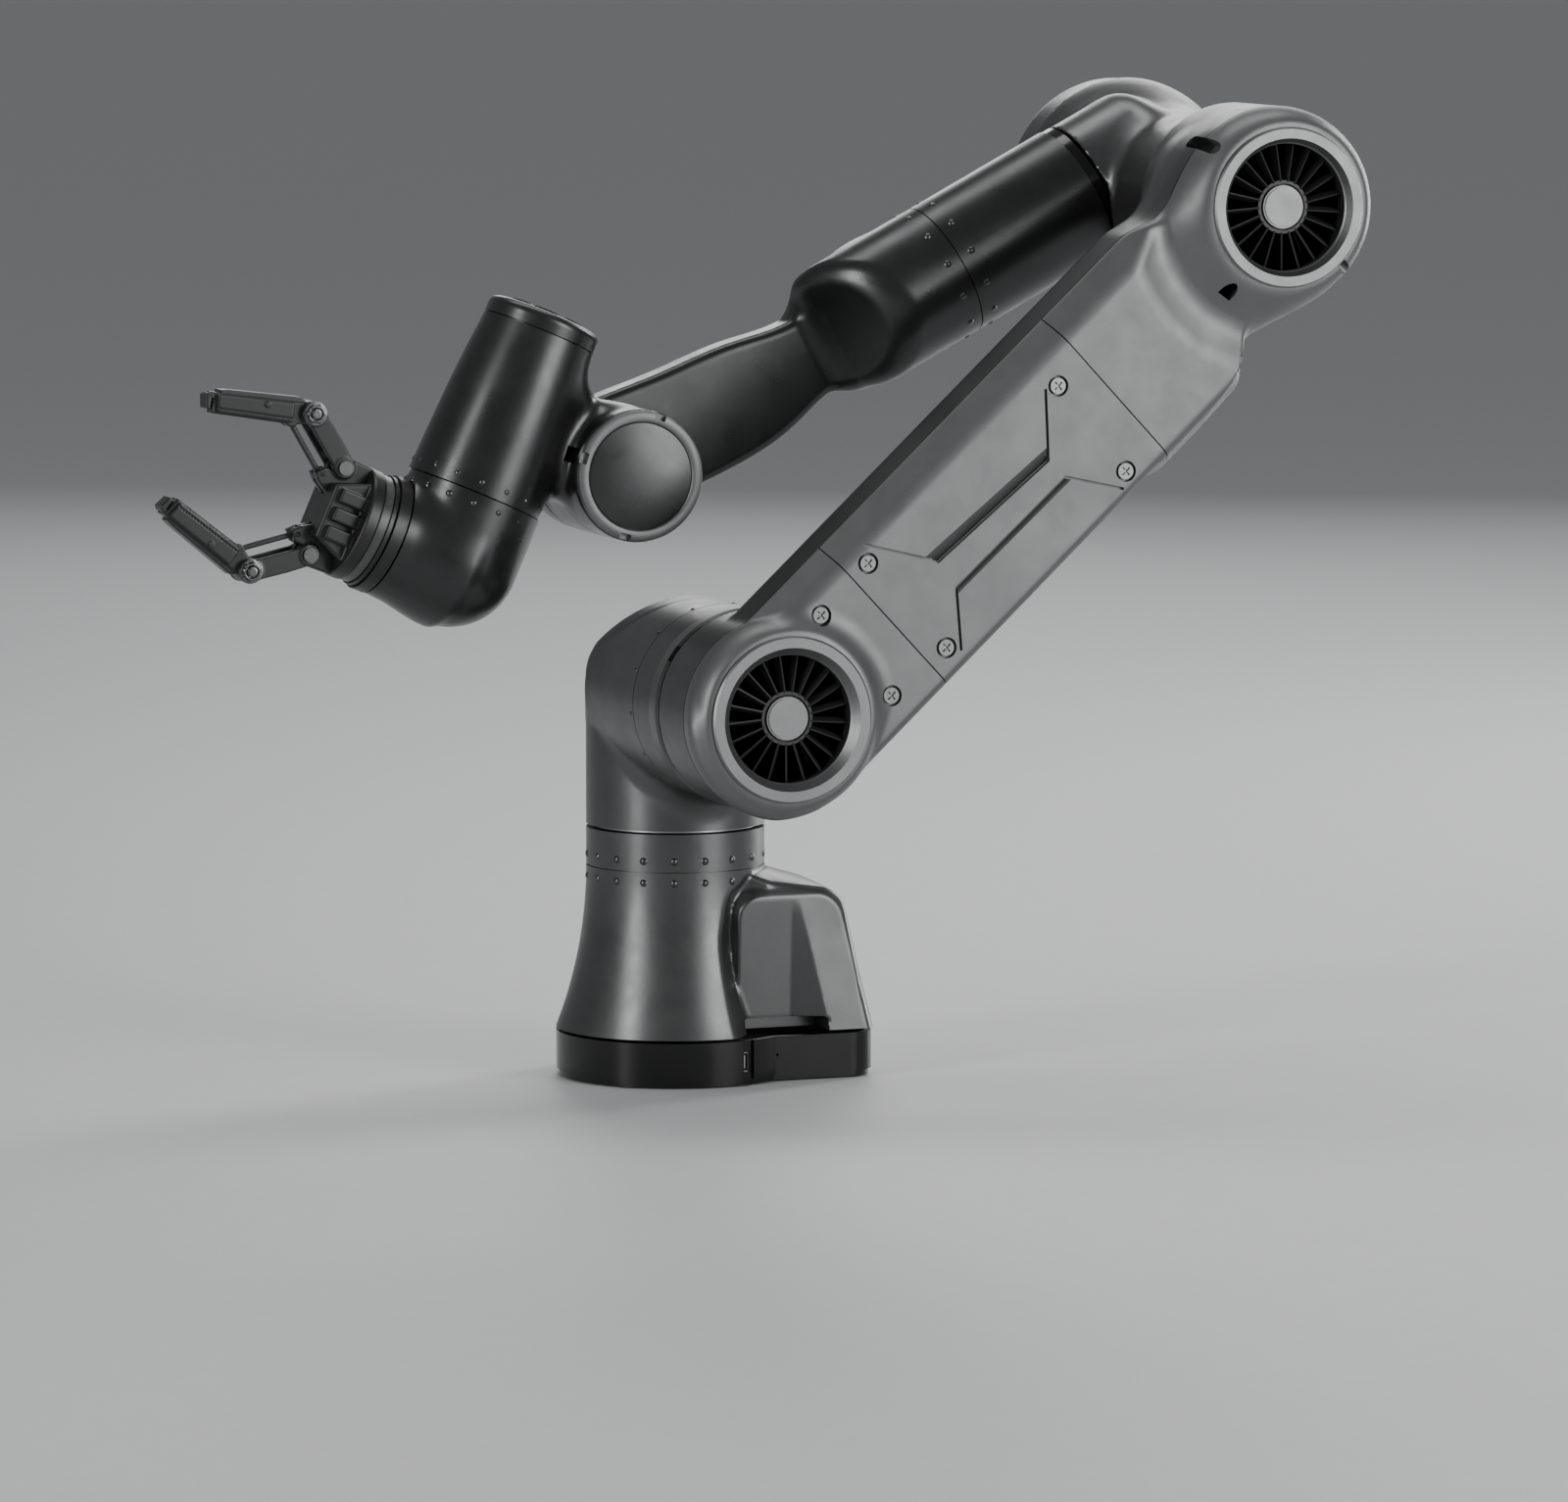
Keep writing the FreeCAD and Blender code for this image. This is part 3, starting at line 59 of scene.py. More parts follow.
def tilt_of(joint):
    """The turn about +Y that takes +X onto a joint's axis."""
    axis = JOINTS[joint]["axis"]
    return math.atan2(-axis[2], axis[0])


def link_frame(origin, tilt):
    return Matrix.Scale(MM, 4) @ Matrix.Translation(origin) @ Matrix.Rotation(tilt, 4, "Y")


SHOULDER = pivot("shoulder_pitch")
ELBOW = pivot("elbow_pitch")
WRIST = pivot("wrist_pitch")
ARM_LENGTH = (ELBOW - SHOULDER).length
WORLD = link_frame(Vector((0, 0, 0)), 0.0)
ARM = link_frame(SHOULDER, math.atan2(ELBOW.x - SHOULDER.x, ELBOW.z - SHOULDER.z))
FOREARM = link_frame(ELBOW, tilt_of("forearm_roll"))
HAND = link_frame(WRIST, tilt_of("tool_roll"))


def in_frame(link, point):
    """A row-frame point (mm) in a link's own frame (mm)."""
    return link.inverted() @ (Vector(point) * MM)


ROLL = in_frame(FOREARM, pivot("forearm_roll"))
TOOL = in_frame(HAND, pivot("tool_roll"))


# ---- distance-field tools --------------------------------------------------
def blend(a, b, k):
    """Union with a soft join of width k."""
    h = np.clip(0.5 + 0.5 * (b - a) / k, 0, 1)
    return b + (a - b) * h - k * h * (1 - h)


def fillet(a, b, r):
    """Union with a round inner corner of radius r."""
    u = np.maximum(r - a, 0)
    v = np.maximum(r - b, 0)
    return np.maximum(np.minimum(a, b), r) - np.sqrt(u * u + v * v)


def edge(a, b, r):
    """Intersection with a rounded outer edge of radius r."""
    u = np.maximum(a + r, 0)
    v = np.maximum(b + r, 0)
    return np.minimum(np.maximum(a, b), -r) + np.sqrt(u * u + v * v)


def brick(p, lo, hi, r):
    """A box with all edges rounded."""
    q = [np.abs(p[i] - (lo[i] + hi[i]) / 2) - (hi[i] - lo[i]) / 2 + r for i in range(3)]
    outside = np.sqrt(sum(np.maximum(c, 0) ** 2 for c in q))
    return outside + np.minimum(np.maximum(np.maximum(q[0], q[1]), q[2]), 0) - r


def slab_2d(u, v, lo, hi, r):
    """A rectangle with rounded corners, in the plane of u and v."""
    a = np.abs(u - (lo[0] + hi[0]) / 2) - (hi[0] - lo[0]) / 2 + r
    b = np.abs(v - (lo[1] + hi[1]) / 2) - (hi[1] - lo[1]) / 2 + r
    return np.sqrt(np.maximum(a, 0) ** 2 + np.maximum(b, 0) ** 2) + np.minimum(np.maximum(a, b), 0) - r


def bar(p, axis, centre, radius, low, high, r=0.5):
    """A capped cylinder along axis 0, 1 or 2. centre holds the other two coordinates."""
    b, c = [i for i in range(3) if i != axis]
    rho = np.hypot(p[b] - centre[0], p[c] - centre[1])
    return edge(rho - radius, np.abs(p[axis] - (low + high) / 2) - (high - low) / 2, r)


def polygon(u, v, points):
    """Signed distance to a closed outline in the plane of u and v."""
    best = np.full(np.shape(u), 1e9)
    inside = np.zeros(np.shape(u), bool)
    for i, (ax, ay) in enumerate(points):
        ex, ey = points[i - 1][0] - ax, points[i - 1][1] - ay
        along = np.clip(((u - ax) * ex + (v - ay) * ey) / (ex * ex + ey * ey), 0, 1)
        best = np.minimum(best, (u - ax - ex * along) ** 2 + (v - ay - ey * along) ** 2)
        if abs(ey) > 1e-9:
            inside ^= ((v >= ay) != (v >= ay + ey)) & (u < ax + (v - ay) * ex / ey)
    return np.where(inside, -1, 1) * np.sqrt(best)


def plate(p, points, low, high, r=0.6):
    """An outline in the X-Z plane with thickness along Y and soft edges."""
    return edge(polygon(p[0], p[2], points), np.abs(p[1] - (low + high) / 2) - (high - low) / 2, r)


def half(p, point, normal):
    """Negative on the side that the normal points away from."""
    n = Vector(normal).normalized()
    return (p[0] - point[0]) * n.x + (p[1] - point[1]) * n.y + (p[2] - point[2]) * n.z


def smooth_curve(points, at):
    """A natural cubic through (t, value) points, evaluated at an array."""
    t = np.array([q[0] for q in points], float)
    v = np.array([q[1] for q in points], float)
    n = len(t)
    h = np.diff(t)
    m = np.eye(n)
    rhs = np.zeros(n)
    for i in range(1, n - 1):
        m[i, i - 1:i + 2] = h[i - 1], 2 * (h[i - 1] + h[i]), h[i]
        rhs[i] = 6 * ((v[i + 1] - v[i]) / h[i] - (v[i] - v[i - 1]) / h[i - 1])
    bend = np.linalg.solve(m, rhs)
    x = np.clip(at, t[0], t[-1])
    i = np.clip(np.searchsorted(t, x) - 1, 0, n - 2)
    a, b = t[i + 1] - x, x - t[i]
    curved = (bend[i] * a ** 3 + bend[i + 1] * b ** 3) / (6 * h[i])
    from_left = (v[i] / h[i] - bend[i] * h[i] / 6) * a
    from_right = (v[i + 1] / h[i] - bend[i + 1] * h[i] / 6) * b
    return curved + from_left + from_right


def corners_of_cells(field, low, step):
    """One vertex in each grid cell that the surface passes, and the faces between them."""
    size = [n - 1 for n in field.shape]
    hits = np.zeros(size, np.int8)
    total = np.zeros(size + [3], np.float32)
    for a in range(3):
        first, second = [slice(None)] * 3, [slice(None)] * 3
        first[a], second[a] = slice(0, -1), slice(1, None)
        d0, d1 = field[tuple(first)], field[tuple(second)]
        crossed = (d0 < 0) != (d1 < 0)
        part = np.where(crossed, d0 / np.where(crossed, d0 - d1, 1), 0)
        b, c = [i for i in range(3) if i != a]
        for ob in (0, 1):
            for oc in (0, 1):
                window = [slice(None)] * 3
                window[b], window[c] = slice(ob, ob + size[b]), slice(oc, oc + size[c])
                cut = crossed[tuple(window)]
                hits += cut
                total[..., a] += np.where(cut, part[tuple(window)], 0)
                total[..., b] += cut * ob
                total[..., c] += cut * oc
    active = hits > 0
    number = np.full(size, -1, np.int64)
    number[active] = np.arange(active.sum())
    points = (np.argwhere(active) + total[active] / hits[active][:, None]) * step + np.array(low)
    inside = field < 0
    faces = []
    for a in range(3):
        b, c = (a + 1) % 3, (a + 2) % 3
        first, second = [slice(1, -1)] * 3, [slice(1, -1)] * 3
        first[a], second[a] = slice(0, -1), slice(1, None)
        starts = inside[tuple(first)]
        edges = np.argwhere(starts != inside[tuple(second)])
        flips = starts[tuple(edges.T)]
        edges[:, b] += 1
        edges[:, c] += 1
        ring = []
        for ob, oc in ((1, 1), (0, 1), (0, 0), (1, 0)):
            cell = edges.copy()
            cell[:, b] -= ob
            cell[:, c] -= oc
            ring.append(number[tuple(cell.T)])
        quad = np.stack(ring, 1)
        quad[~flips] = quad[~flips][:, ::-1]
        faces.append(quad)
    return points, np.concatenate(faces)


def skin(name, shape, low, high, step=STEP):
    """A closed mesh of the surface where shape is zero, in its link's frame, in millimetres."""
    counts = [int(math.ceil((high[i] - low[i]) / step)) + 1 for i in range(3)]
    axes = [low[i] + step * np.arange(counts[i]) for i in range(3)]
    grid = np.meshgrid(*axes, indexing="ij", copy=False)
    points, faces = corners_of_cells(shape(grid).astype(np.float32), low, step)
    nudge = 0.05
    for _ in range(2):
        value = shape(points.T)
        slope = np.stack([(shape((points + nudge * e).T) - shape((points - nudge * e).T)) / (2 * nudge)
                          for e in np.eye(3)], 1)
        move = value[:, None] * slope / np.maximum((slope ** 2).sum(1), 0.05)[:, None]
        points = points - np.clip(move, -0.5 * step, 0.5 * step)
    mesh = bpy.data.meshes.new(name)
    mesh.from_pydata(points.tolist(), [], faces.tolist())
    return mesh


# ---- mesh tools ------------------------------------------------------------
def mesh_from(name, build):
    """A mesh made by a function that fills a bmesh."""
    bm = bmesh.new()
    build(bm)
    bmesh.ops.recalc_face_normals(bm, faces=bm.faces)
    mesh = bpy.data.meshes.new(name)
    bm.to_mesh(mesh)
    bm.free()
    return mesh


def solid_plate(bm, outline, y0, y1):
    """An outline in the X-Z plane, extruded from y0 to y1."""
    front = [bm.verts.new((x, y0, z)) for x, z in outline]
    back = [bm.verts.new((x, y1, z)) for x, z in outline]
    bm.faces.new(front)
    bm.faces.new(back[::-1])
    for i in range(len(outline)):
        j = (i + 1) % len(outline)
        bm.faces.new((front[i], back[i], back[j], front[j]))


def ring_of(count, radius, cx=0.0, cz=0.0):
    """The corners of a regular polygon round a centre."""
    turns = [2 * math.pi * i / count for i in range(count)]
    return [(cx + radius * math.cos(a), cz + radius * math.sin(a)) for a in turns]


def turned_ring(bm, profile, count=96):
    """A closed (radius, y) profile turned about the Y axis."""
    rings = []
    for i in range(count):
        a = 2 * math.pi * i / count
        rings.append([bm.verts.new((r * math.cos(a), y, r * math.sin(a))) for r, y in profile])
    for i in range(count):
        here, there = rings[i], rings[(i + 1) % count]
        for j in range(len(profile)):
            k = (j + 1) % len(profile)
            bm.faces.new((here[j], here[k], there[k], there[j]))


def carve(mesh, *tools):
    """Takes closed tool meshes out of a closed mesh."""
    work = bpy.data.objects.new("work", mesh)
    bpy.context.scene.collection.objects.link(work)
    for tool in tools:
        knife = bpy.data.objects.new("knife", tool)
        bpy.context.scene.collection.objects.link(knife)
        knife.hide_render = True
        cut = work.modifiers.new("cut", "BOOLEAN")
        cut.operation = "DIFFERENCE"
        cut.solver = "MANIFOLD"
        cut.object = knife
        bpy.context.view_layer.update()
        done = bpy.data.meshes.new_from_object(work.evaluated_get(bpy.context.evaluated_depsgraph_get()))
        work.modifiers.clear()
        work.data = done
        bpy.data.objects.remove(knife)
    result = work.data
    bpy.data.objects.remove(work)
    return result


def kept_side(mesh, point, normal):
    """The part of a closed mesh behind a plane, closed again with a flat face."""
    bm = bmesh.new()
    bm.from_mesh(mesh)
    everything = bm.verts[:] + bm.edges[:] + bm.faces[:]
    bmesh.ops.bisect_plane(bm, geom=everything, dist=1e-4, plane_co=point, plane_no=normal, clear_outer=True)
    rim = [e for e in bm.edges if e.is_boundary]
    bmesh.ops.holes_fill(bm, edges=rim)
    out = bpy.data.meshes.new(mesh.name)
    bm.to_mesh(out)
    bm.free()
    return out


def between(mesh, axis, low, high):
    """The part of a closed mesh between two planes across an axis; None leaves an end open."""
    way = Vector((0, 0, 0))
    way[axis] = 1
    if high is not None:
        mesh = kept_side(mesh, way * high, way)
    if low is not None:
        mesh = kept_side(mesh, way * low, -way)
    return mesh


def piece(name, mesh, link, body, slot, look, *nodes, crease=32):
    """Puts a mesh in the scene on its body, in place of its CAD nodes."""
    mesh.name = name
    mesh.transform(link)
    mesh.shade_smooth()
    mesh.set_sharp_from_angle(angle=math.radians(crease))
    mesh.materials.clear()
    mesh.materials.append(look)
    obj = bpy.data.objects.new(name, mesh)
    bpy.context.scene.collection.objects.link(obj)
    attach(obj, body)
    if nodes:
        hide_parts(*nodes)
    return obj


# ---- materials -------------------------------------------------------------
MIDDLE = (0.3, 0.7)                       # the part of a noise's range that a look makes use of
DRIFT_SCALE, CLOUD_SCALE = 24, 70         # slow changes of tone and of roughness, per metre
GRAIN_SHADE = 0.86                        # how dark the fine grain gets
ROUGH_SWING = 0.05
GRAIN_DEPTH = 0.0003                      # metres


def coordinates(nodes, links, scale):
    place = nodes.new("ShaderNodeTexCoord")
    size = nodes.new("ShaderNodeMapping")
    size.inputs["Scale"].default_value = scale
    links.new(place.outputs["Object"], size.inputs["Vector"])
    return size.outputs["Vector"]


def noise(nodes, links, vector, scale, detail, rough):
    tex = nodes.new("ShaderNodeTexNoise")
    tex.inputs["Scale"].default_value = scale
    tex.inputs["Detail"].default_value = detail
    tex.inputs["Roughness"].default_value = rough
    links.new(vector, tex.inputs["Vector"])
    return tex.outputs["Fac"]


def ramp(nodes, links, value, low_colour, high_colour):
    """Turns a noise value into a colour between two, over the middle of its range."""
    band = nodes.new("ShaderNodeValToRGB")
    for stop, place, colour in zip(band.color_ramp.elements, MIDDLE, (low_colour, high_colour)):
        stop.position = place
        stop.color = (*colour, 1)
    links.new(value, band.inputs["Fac"])
    return band.outputs["Color"]


def span(nodes, links, value, low, high):
    """Turns a noise value into a number between two, over the middle of its range."""
    scaled = nodes.new("ShaderNodeMapRange")
    scaled.inputs["From Min"].default_value = MIDDLE[0]
    scaled.inputs["From Max"].default_value = MIDDLE[1]
    scaled.inputs["To Min"].default_value = low
    scaled.inputs["To Max"].default_value = high
    links.new(value, scaled.inputs["Value"])
    return scaled.outputs["Result"]


def grey(level):
    """A grey that is a touch blue."""
    return (level, level * 1.01, level * 1.02)


def finish_look(name, level, metallic, rough, spread=0.08, grain=1600, bump=0.05, coat=0.0, gloss=0.5,
                stretch=(1, 1, 1), colour=None):
    """A surface with drifting tone, fine grain and uneven roughness. grain counts specks per metre."""
    look = bpy.data.materials.new(name)
    look.use_nodes = True
    nodes, links = look.node_tree.nodes, look.node_tree.links
    shader = nodes["Principled BSDF"]
    shader.inputs["Metallic"].default_value = metallic
    shader.inputs["Coat Weight"].default_value = coat
    shader.inputs["Specular IOR Level"].default_value = gloss
    shader.inputs["Coat Roughness"].default_value = 0.08
    vector = coordinates(nodes, links, stretch)
    base = colour or grey(level)
    dark = tuple(c * (1 - spread) for c in base)
    light = tuple(c * (1 + spread) for c in base)
    drift = noise(nodes, links, vector, DRIFT_SCALE, 4.0, 0.6)
    tone = ramp(nodes, links, drift, dark, light)
    fine = noise(nodes, links, vector, grain, 2.0, 0.6)
    speckle = nodes.new("ShaderNodeMix")
    speckle.data_type = "RGBA"
    speckle.blend_type = "MULTIPLY"
    speckle.inputs["Factor"].default_value = 1.0
    links.new(tone, speckle.inputs["A"])
    links.new(ramp(nodes, links, fine, (GRAIN_SHADE,) * 3, (1.0,) * 3), speckle.inputs["B"])
    links.new(speckle.outputs["Result"], shader.inputs["Base Color"])
    cloud = noise(nodes, links, vector, CLOUD_SCALE, 5.0, 0.65)
    roughness = span(nodes, links, cloud, rough - ROUGH_SWING, rough + ROUGH_SWING)
    links.new(roughness, shader.inputs["Roughness"])
    if bump:
        relief = nodes.new("ShaderNodeBump")
        relief.inputs["Strength"].default_value = bump
        relief.inputs["Distance"].default_value = GRAIN_DEPTH
        links.new(fine, relief.inputs["Height"])
        links.new(relief.outputs["Normal"], shader.inputs["Normal"])
    return look


GUNMETAL = finish_look("gunmetal satin", 0.115, 0.85, 0.35, grain=2200, bump=0.05)
DARK_METAL = finish_look("dark gunmetal satin", 0.065, 0.9, 0.31, grain=2200, bump=0.05)
MATTE_GREY = finish_look("fine matte grey", 0.16, 0.68, 0.44, spread=0.04, grain=2600, bump=0.1)
GLOSS_BLACK = finish_look("gloss black", 0.004, 0.0, 0.17, grain=2600, bump=0.01, coat=0.15, gloss=0.35)
RING_METAL = finish_look("vent ring metal", 0.19, 0.85, 0.4, grain=2400, bump=0.05)
VANE_BLACK = finish_look("vane black", 0.03, 0.4, 0.42, grain=1800, bump=0.06)
SCREW_METAL = finish_look("screw steel", 0.17, 1.0, 0.3, grain=3000, bump=0.04)
DARK_SCREW = finish_look("dark screw", 0.1, 1.0, 0.32, grain=3000, bump=0.04)
PIN_METAL = finish_look("pin steel", 0.13, 1.0, 0.28, grain=3000, bump=0.04)
CAST_IRON = finish_look("cast iron", 0.06, 0.6, 0.7, grain=900, bump=0.4)
RUBBER = finish_look("foot rubber", 0.02, 0.0, 0.75, grain=1500, bump=0.2)
STEEL = finish_look("machined steel", 0.4, 1.0, 0.3, grain=1200, bump=0.05, stretch=(1, 1, 8))
ALLOY = finish_look("machined alloy", 0.45, 1.0, 0.35, grain=1200, bump=0.05, stretch=(8, 1, 1))
BOARD = finish_look("board green", 0.05, 0.0, 0.5, grain=800, bump=0.1, colour=(0.02, 0.09, 0.04))
GRIP_BLACK = finish_look("black anodised", 0.045, 0.75, 0.38, grain=2400, bump=0.06)
# The wide tone spread (0.6) on the status band paints bright and dark patches along it: painted glints of light,
# not a frosted finish.
LIGHT_BAND = finish_look("status band with painted glints", 0.05, 0.0, 0.35, spread=0.6, grain=500, bump=0.05)

CAD_LOOKS = {
    "gloss_black": GLOSS_BLACK, "gunmetal": GUNMETAL, "dark_gunmetal": DARK_METAL,
    "matte_grey": MATTE_GREY, "vent_metal": RING_METAL, "vane_black": VANE_BLACK,
    "screw_steel": SCREW_METAL, "cast_ballast": CAST_IRON, "foot_rubber": RUBBER,
    "steel_drive": STEEL, "drive_alloy": ALLOY, "board_green": BOARD,
    "grip_black": GRIP_BLACK, "status_light": LIGHT_BAND, "pin_steel": PIN_METAL,
}

DARKER = {"collar_screws": DARK_SCREW, "shoulder_screws": DARK_SCREW, "forearm_screws": DARK_SCREW,
          "wrist_screws": DARK_SCREW, "wrist_cover_disc": DARK_METAL}


def paint_cad():
    """Gives every CAD node the finish of its own material slot, and a few pieces a darker one."""
    for part in frame["record"]["subparts"]:
        obj = frame["nodes"][part["node"]]
        look = DARKER.get(part["node"], CAD_LOOKS[part["material_slot"]])
        for i in range(len(obj.material_slots)):
            obj.material_slots[i].link = "OBJECT"
            obj.material_slots[i].material = look


# ---- base ------------------------------------------------------------------
FOOT_R, NECK_R = 55.0, 41.0               # the bell's radius at its two ends
SKIRT_Z, NECK_Z = 22.4, 97.4              # and where they are
BOX_HALF, BOX_BACK, BACK_LEAN = 42.2, -84.0, 0.235
ROOF_Z, ROOF_X, ROOF_SLOPE, ROOF_CROWN = 96.8, -36.0, 0.30, 7.0
COVE_WIDTH, COVE_DEPTH, COVE_DEEPER = 5.0, 2.0, 3.4   # the band round the side panel, deeper beside the bell
STEP_REACH, FACET_FALL = 13.5, 7.0        # the slanted step's run and its depth at the bottom
POCKET_TOP, POCKET_REACH = 28.8, 24.0     # the dark pocket under the facets


def bell_radius(z):
    """An arc that leaves the neck straight down and meets the foot."""
    flare = FOOT_R - NECK_R
    drop = NECK_Z - SKIRT_Z
    bow = (drop ** 2 + flare ** 2) / (2 * flare)
    return NECK_R + bow - np.sqrt(bow ** 2 - np.clip(NECK_Z - z, -20, drop + 10) ** 2)


# The bell's rear edge, as (height, x).
BELL_EDGE = [(SKIRT_Z, -10.8), (38, -8.7), (54, -7.2), (68, -7.2), (78, -9.3), (88, -14.2), (93, -21.5),
             (98, -31)]
STEP_X = -43.5                            # front edge of the slanted step in the box's side
PANEL_TOP = 83.0


def side_reach(x, z):
    """Half width of the rear box: a front facet, a slanted step and an outer rear facet in a soft frame."""
    fall = np.clip((PANEL_TOP - z) / (PANEL_TOP - SKIRT_Z), 0, 1)
    rear = STEP_X - 3.2 - STEP_REACH * fall
    share = np.clip((STEP_X - x) / (STEP_X - rear), 0, 1)
    reach = BOX_HALF - 0.07 * (z - SKIRT_Z) - FACET_FALL * fall * (1 - share)
    behind = half((x, 0, z), (BOX_BACK + 5.0, 0, SKIRT_Z), (-1, 0, BACK_LEAN))
    panel = edge(slab_2d(x, z, (-200, -60), (-18.5, PANEL_TOP + 1), 10.0), behind, 9.0)
    cove = np.clip(panel / COVE_WIDTH, 0, 1)
    depth = COVE_DEPTH + COVE_DEEPER * np.clip((x + 32) / 12, 0, 1)
    return reach - depth * cove * cove * (3 - 2 * cove)


def base_shape(p):
    x, y, z = p
    side = np.abs(y)
    radius = bell_radius(z)
    border = smooth_curve(BELL_EDGE, z)
    drop = (border - x) * 0.8 + (side - np.sqrt(np.maximum(radius ** 2 - border ** 2, 1))) * 0.6
    bell = edge((np.hypot(x, y) - radius) * 0.97, drop * 0.9, 1.3)
    crown = ROOF_CROWN * (side / 37) ** 2 * np.clip((x + 70) / 34, 0, 1)
    roof = (z - ROOF_Z - ROOF_SLOPE * (x - ROOF_X) + crown) * 0.9
    back = half(p, (BOX_BACK, 0, SKIRT_Z), (-1, 0, BACK_LEAN))
    round_off = 2.2 + 4.0 * np.clip((-68 - x) / 8, 0, 1)
    box = edge((side - side_reach(x, z)) * 0.9, edge(back, roof, 9.0), round_off)
    box = np.maximum(box, x + 4)
    body = blend(bell, box, 2.2)
    pocket = np.maximum(slab_2d(x, z, (-60, 10), (-20, POCKET_TOP), 2.5), POCKET_REACH - side)
    return np.maximum(body, -pocket)


def make_base():
    mesh = skin("base", base_shape, (-90, -60, 16), (60, 60, 104), STEP * 0.8)
    mesh = between(mesh, 2, SKIRT_Z, NECK_Z)
    piece("base_bell", mesh, WORLD, "base", "gunmetal", GUNMETAL, "base_housing")


# ---- turret ----------------------------------------------------------------
HEAD_R, HEAD_SEAM_Y = 44.0, 68.0          # the level barrel and where its ring starts
TURRET_Z = 116.6                          # the seam on top of the collar
ARMPIT_R = 16.0
CORNER_CUT = 25.0                         # how far behind the axis the back corner is cut off


def turret_shape(p):
    x, y, z = p
    leg_wall = np.hypot(x, y) - NECK_R
    arm_wall = np.hypot(x, z - SHOULDER.z) - HEAD_R
    leg = edge(leg_wall, z - SHOULDER.z, 0.5)
    arm = edge(arm_wall, -y, 0.5)
    knee = edge(leg_wall, arm_wall, 4.0)
    armpit = np.maximum(0.4, ARMPIT_R * (1 - (x / NECK_R) ** 2))
    body = blend(fillet(leg, arm, armpit), knee, 1.2)
    corner = half(p, (0, 0, SHOULDER.z + CORNER_CUT), (0, -1, 1))
    return edge(body, corner, 5.0)


def make_turret():
    mesh = skin("turret", turret_shape, (-50, -46, 110), (50, 74, 228))
    mesh = between(between(mesh, 2, TURRET_Z, None), 1, None, HEAD_SEAM_Y)
    piece("turret_casting", mesh, WORLD, "turret", "gunmetal", GUNMETAL, "turret_shell")


# ---- upper arm -------------------------------------------------------------
ARM_BACK, ARM_SPLIT, ARM_FACE = 106.1, 140.0, 150.0
ARM_LOW, ARM_HIGH, ARM_TOP = -43.5, 41.5, 284.0
LOW_SEAM, HIGH_SEAM = 64.3, 209.5
BARREL_R, MOUTH_Y = 45.0, 156.0
BORE_R, BORE_FLOOR = 32.4, 122.0          # the seats of the vane sets
VALLEY_R = 78.0                           # where the flat face starts to sink towards the elbow
VALLEY_WIDTH, VALLEY_SLOPE = 15.0, 0.62   # over which width it turns, and how steep it gets
SCREWS = [(17.1, 192.7), (-33.7, 189.9), (23.1, 74.3), (-30.7, 74.9), (22.0, 42.7), (-27.8, 41.8)]
LEFT_GROOVE = [(20.4, 187.4), (-3.9, 166.6), (0.1, 98.6), (30.5, 78.6)]
RIGHT_GROOVE = [(-38.8, 183.8), (-15.3, 167.6), (-14.5, 96.5), (-36.6, 79.0)]
GROOVE_WIDTH, GROOVE_DEPTH = 1.3, 2.2
SINK_R, SINK_DEPTH = 4.8, 3.2             # the seats of the cover screws
CLEAR = 3.0                               # how far a cutting tool stands proud of the face


def barrel_end(p, centre_z, low, mouth_r):
    """A barrel across the arm that domes in to its vent ring."""
    x, y, z = p
    rho = np.hypot(x, z - centre_z)
    rise = np.clip((y - ARM_SPLIT) / 16.5, 0, 1)
    radius = mouth_r + (BARREL_R - mouth_r) * np.sqrt(1 - rise ** 2 * 0.999)
    body = edge((rho - radius) * 0.75, y - MOUTH_Y, 0.6)
    body = edge(body, low - y, 0.8)
    return np.maximum(body, -np.maximum(rho - BORE_R, BORE_FLOOR - y))


def arm_shape(p):
    x, y, z = p
    to_elbow = np.hypot(x, z - ARM_LENGTH)
    outline = slab_2d(x, z, (ARM_LOW, -60), (ARM_HIGH, ARM_TOP), 24.0)
    outline = edge(outline, half(p, (ARM_LOW, 0, 268), (-1, 0, 1)), 22.0)
    outline = np.maximum(outline, np.hypot(x, np.minimum(z, 0)) - BARREL_R + 1.5)
    slab = edge(outline, ARM_BACK - y, 15.0)
    high = half(p, (31.0, ARM_FACE, 0), (9.0, 10.5, 0))
    low = half(p, (-40.5, ARM_FACE, 0), (-1.0, 1.0, 0))
    inward = np.clip(VALLEY_R - to_elbow, 0, 24)
    turned = np.minimum(inward, VALLEY_WIDTH)
    sag = VALLEY_SLOPE * (inward - turned + turned ** 2 / (2 * VALLEY_WIDTH))
    front = edge(edge((y - ARM_FACE + sag) * 0.9, high, 3.0), low, 1.0)
    slab = edge(slab, front, 1.0)
    bulge = brick(p, (-50.5, ARM_BACK + 8, 196), (-14, 141, 268), 13.0)
    neck = brick(p, (-35, ARM_BACK, 225), (34, 141.5, ARM_LENGTH), 14.0)
    elbow = barrel_end(p, ARM_LENGTH, 91.5, 35.5)
    shoulder = barrel_end(p, 0, ARM_BACK, 36.5)
    body = fillet(blend(blend(slab, bulge, 12.0), neck, 8.0), elbow, 20.0)
    ramp_in = np.clip((y - 140) / 8, 0, 1) * np.clip((42 - np.abs(x)) / 12, 0, 1)
    body = blend(body, shoulder, 1.0 + 6.5 * ramp_in)
    bore = np.minimum(np.hypot(x, z), to_elbow) - BORE_R
    return np.maximum(body, -np.maximum(bore, BORE_FLOOR - y))


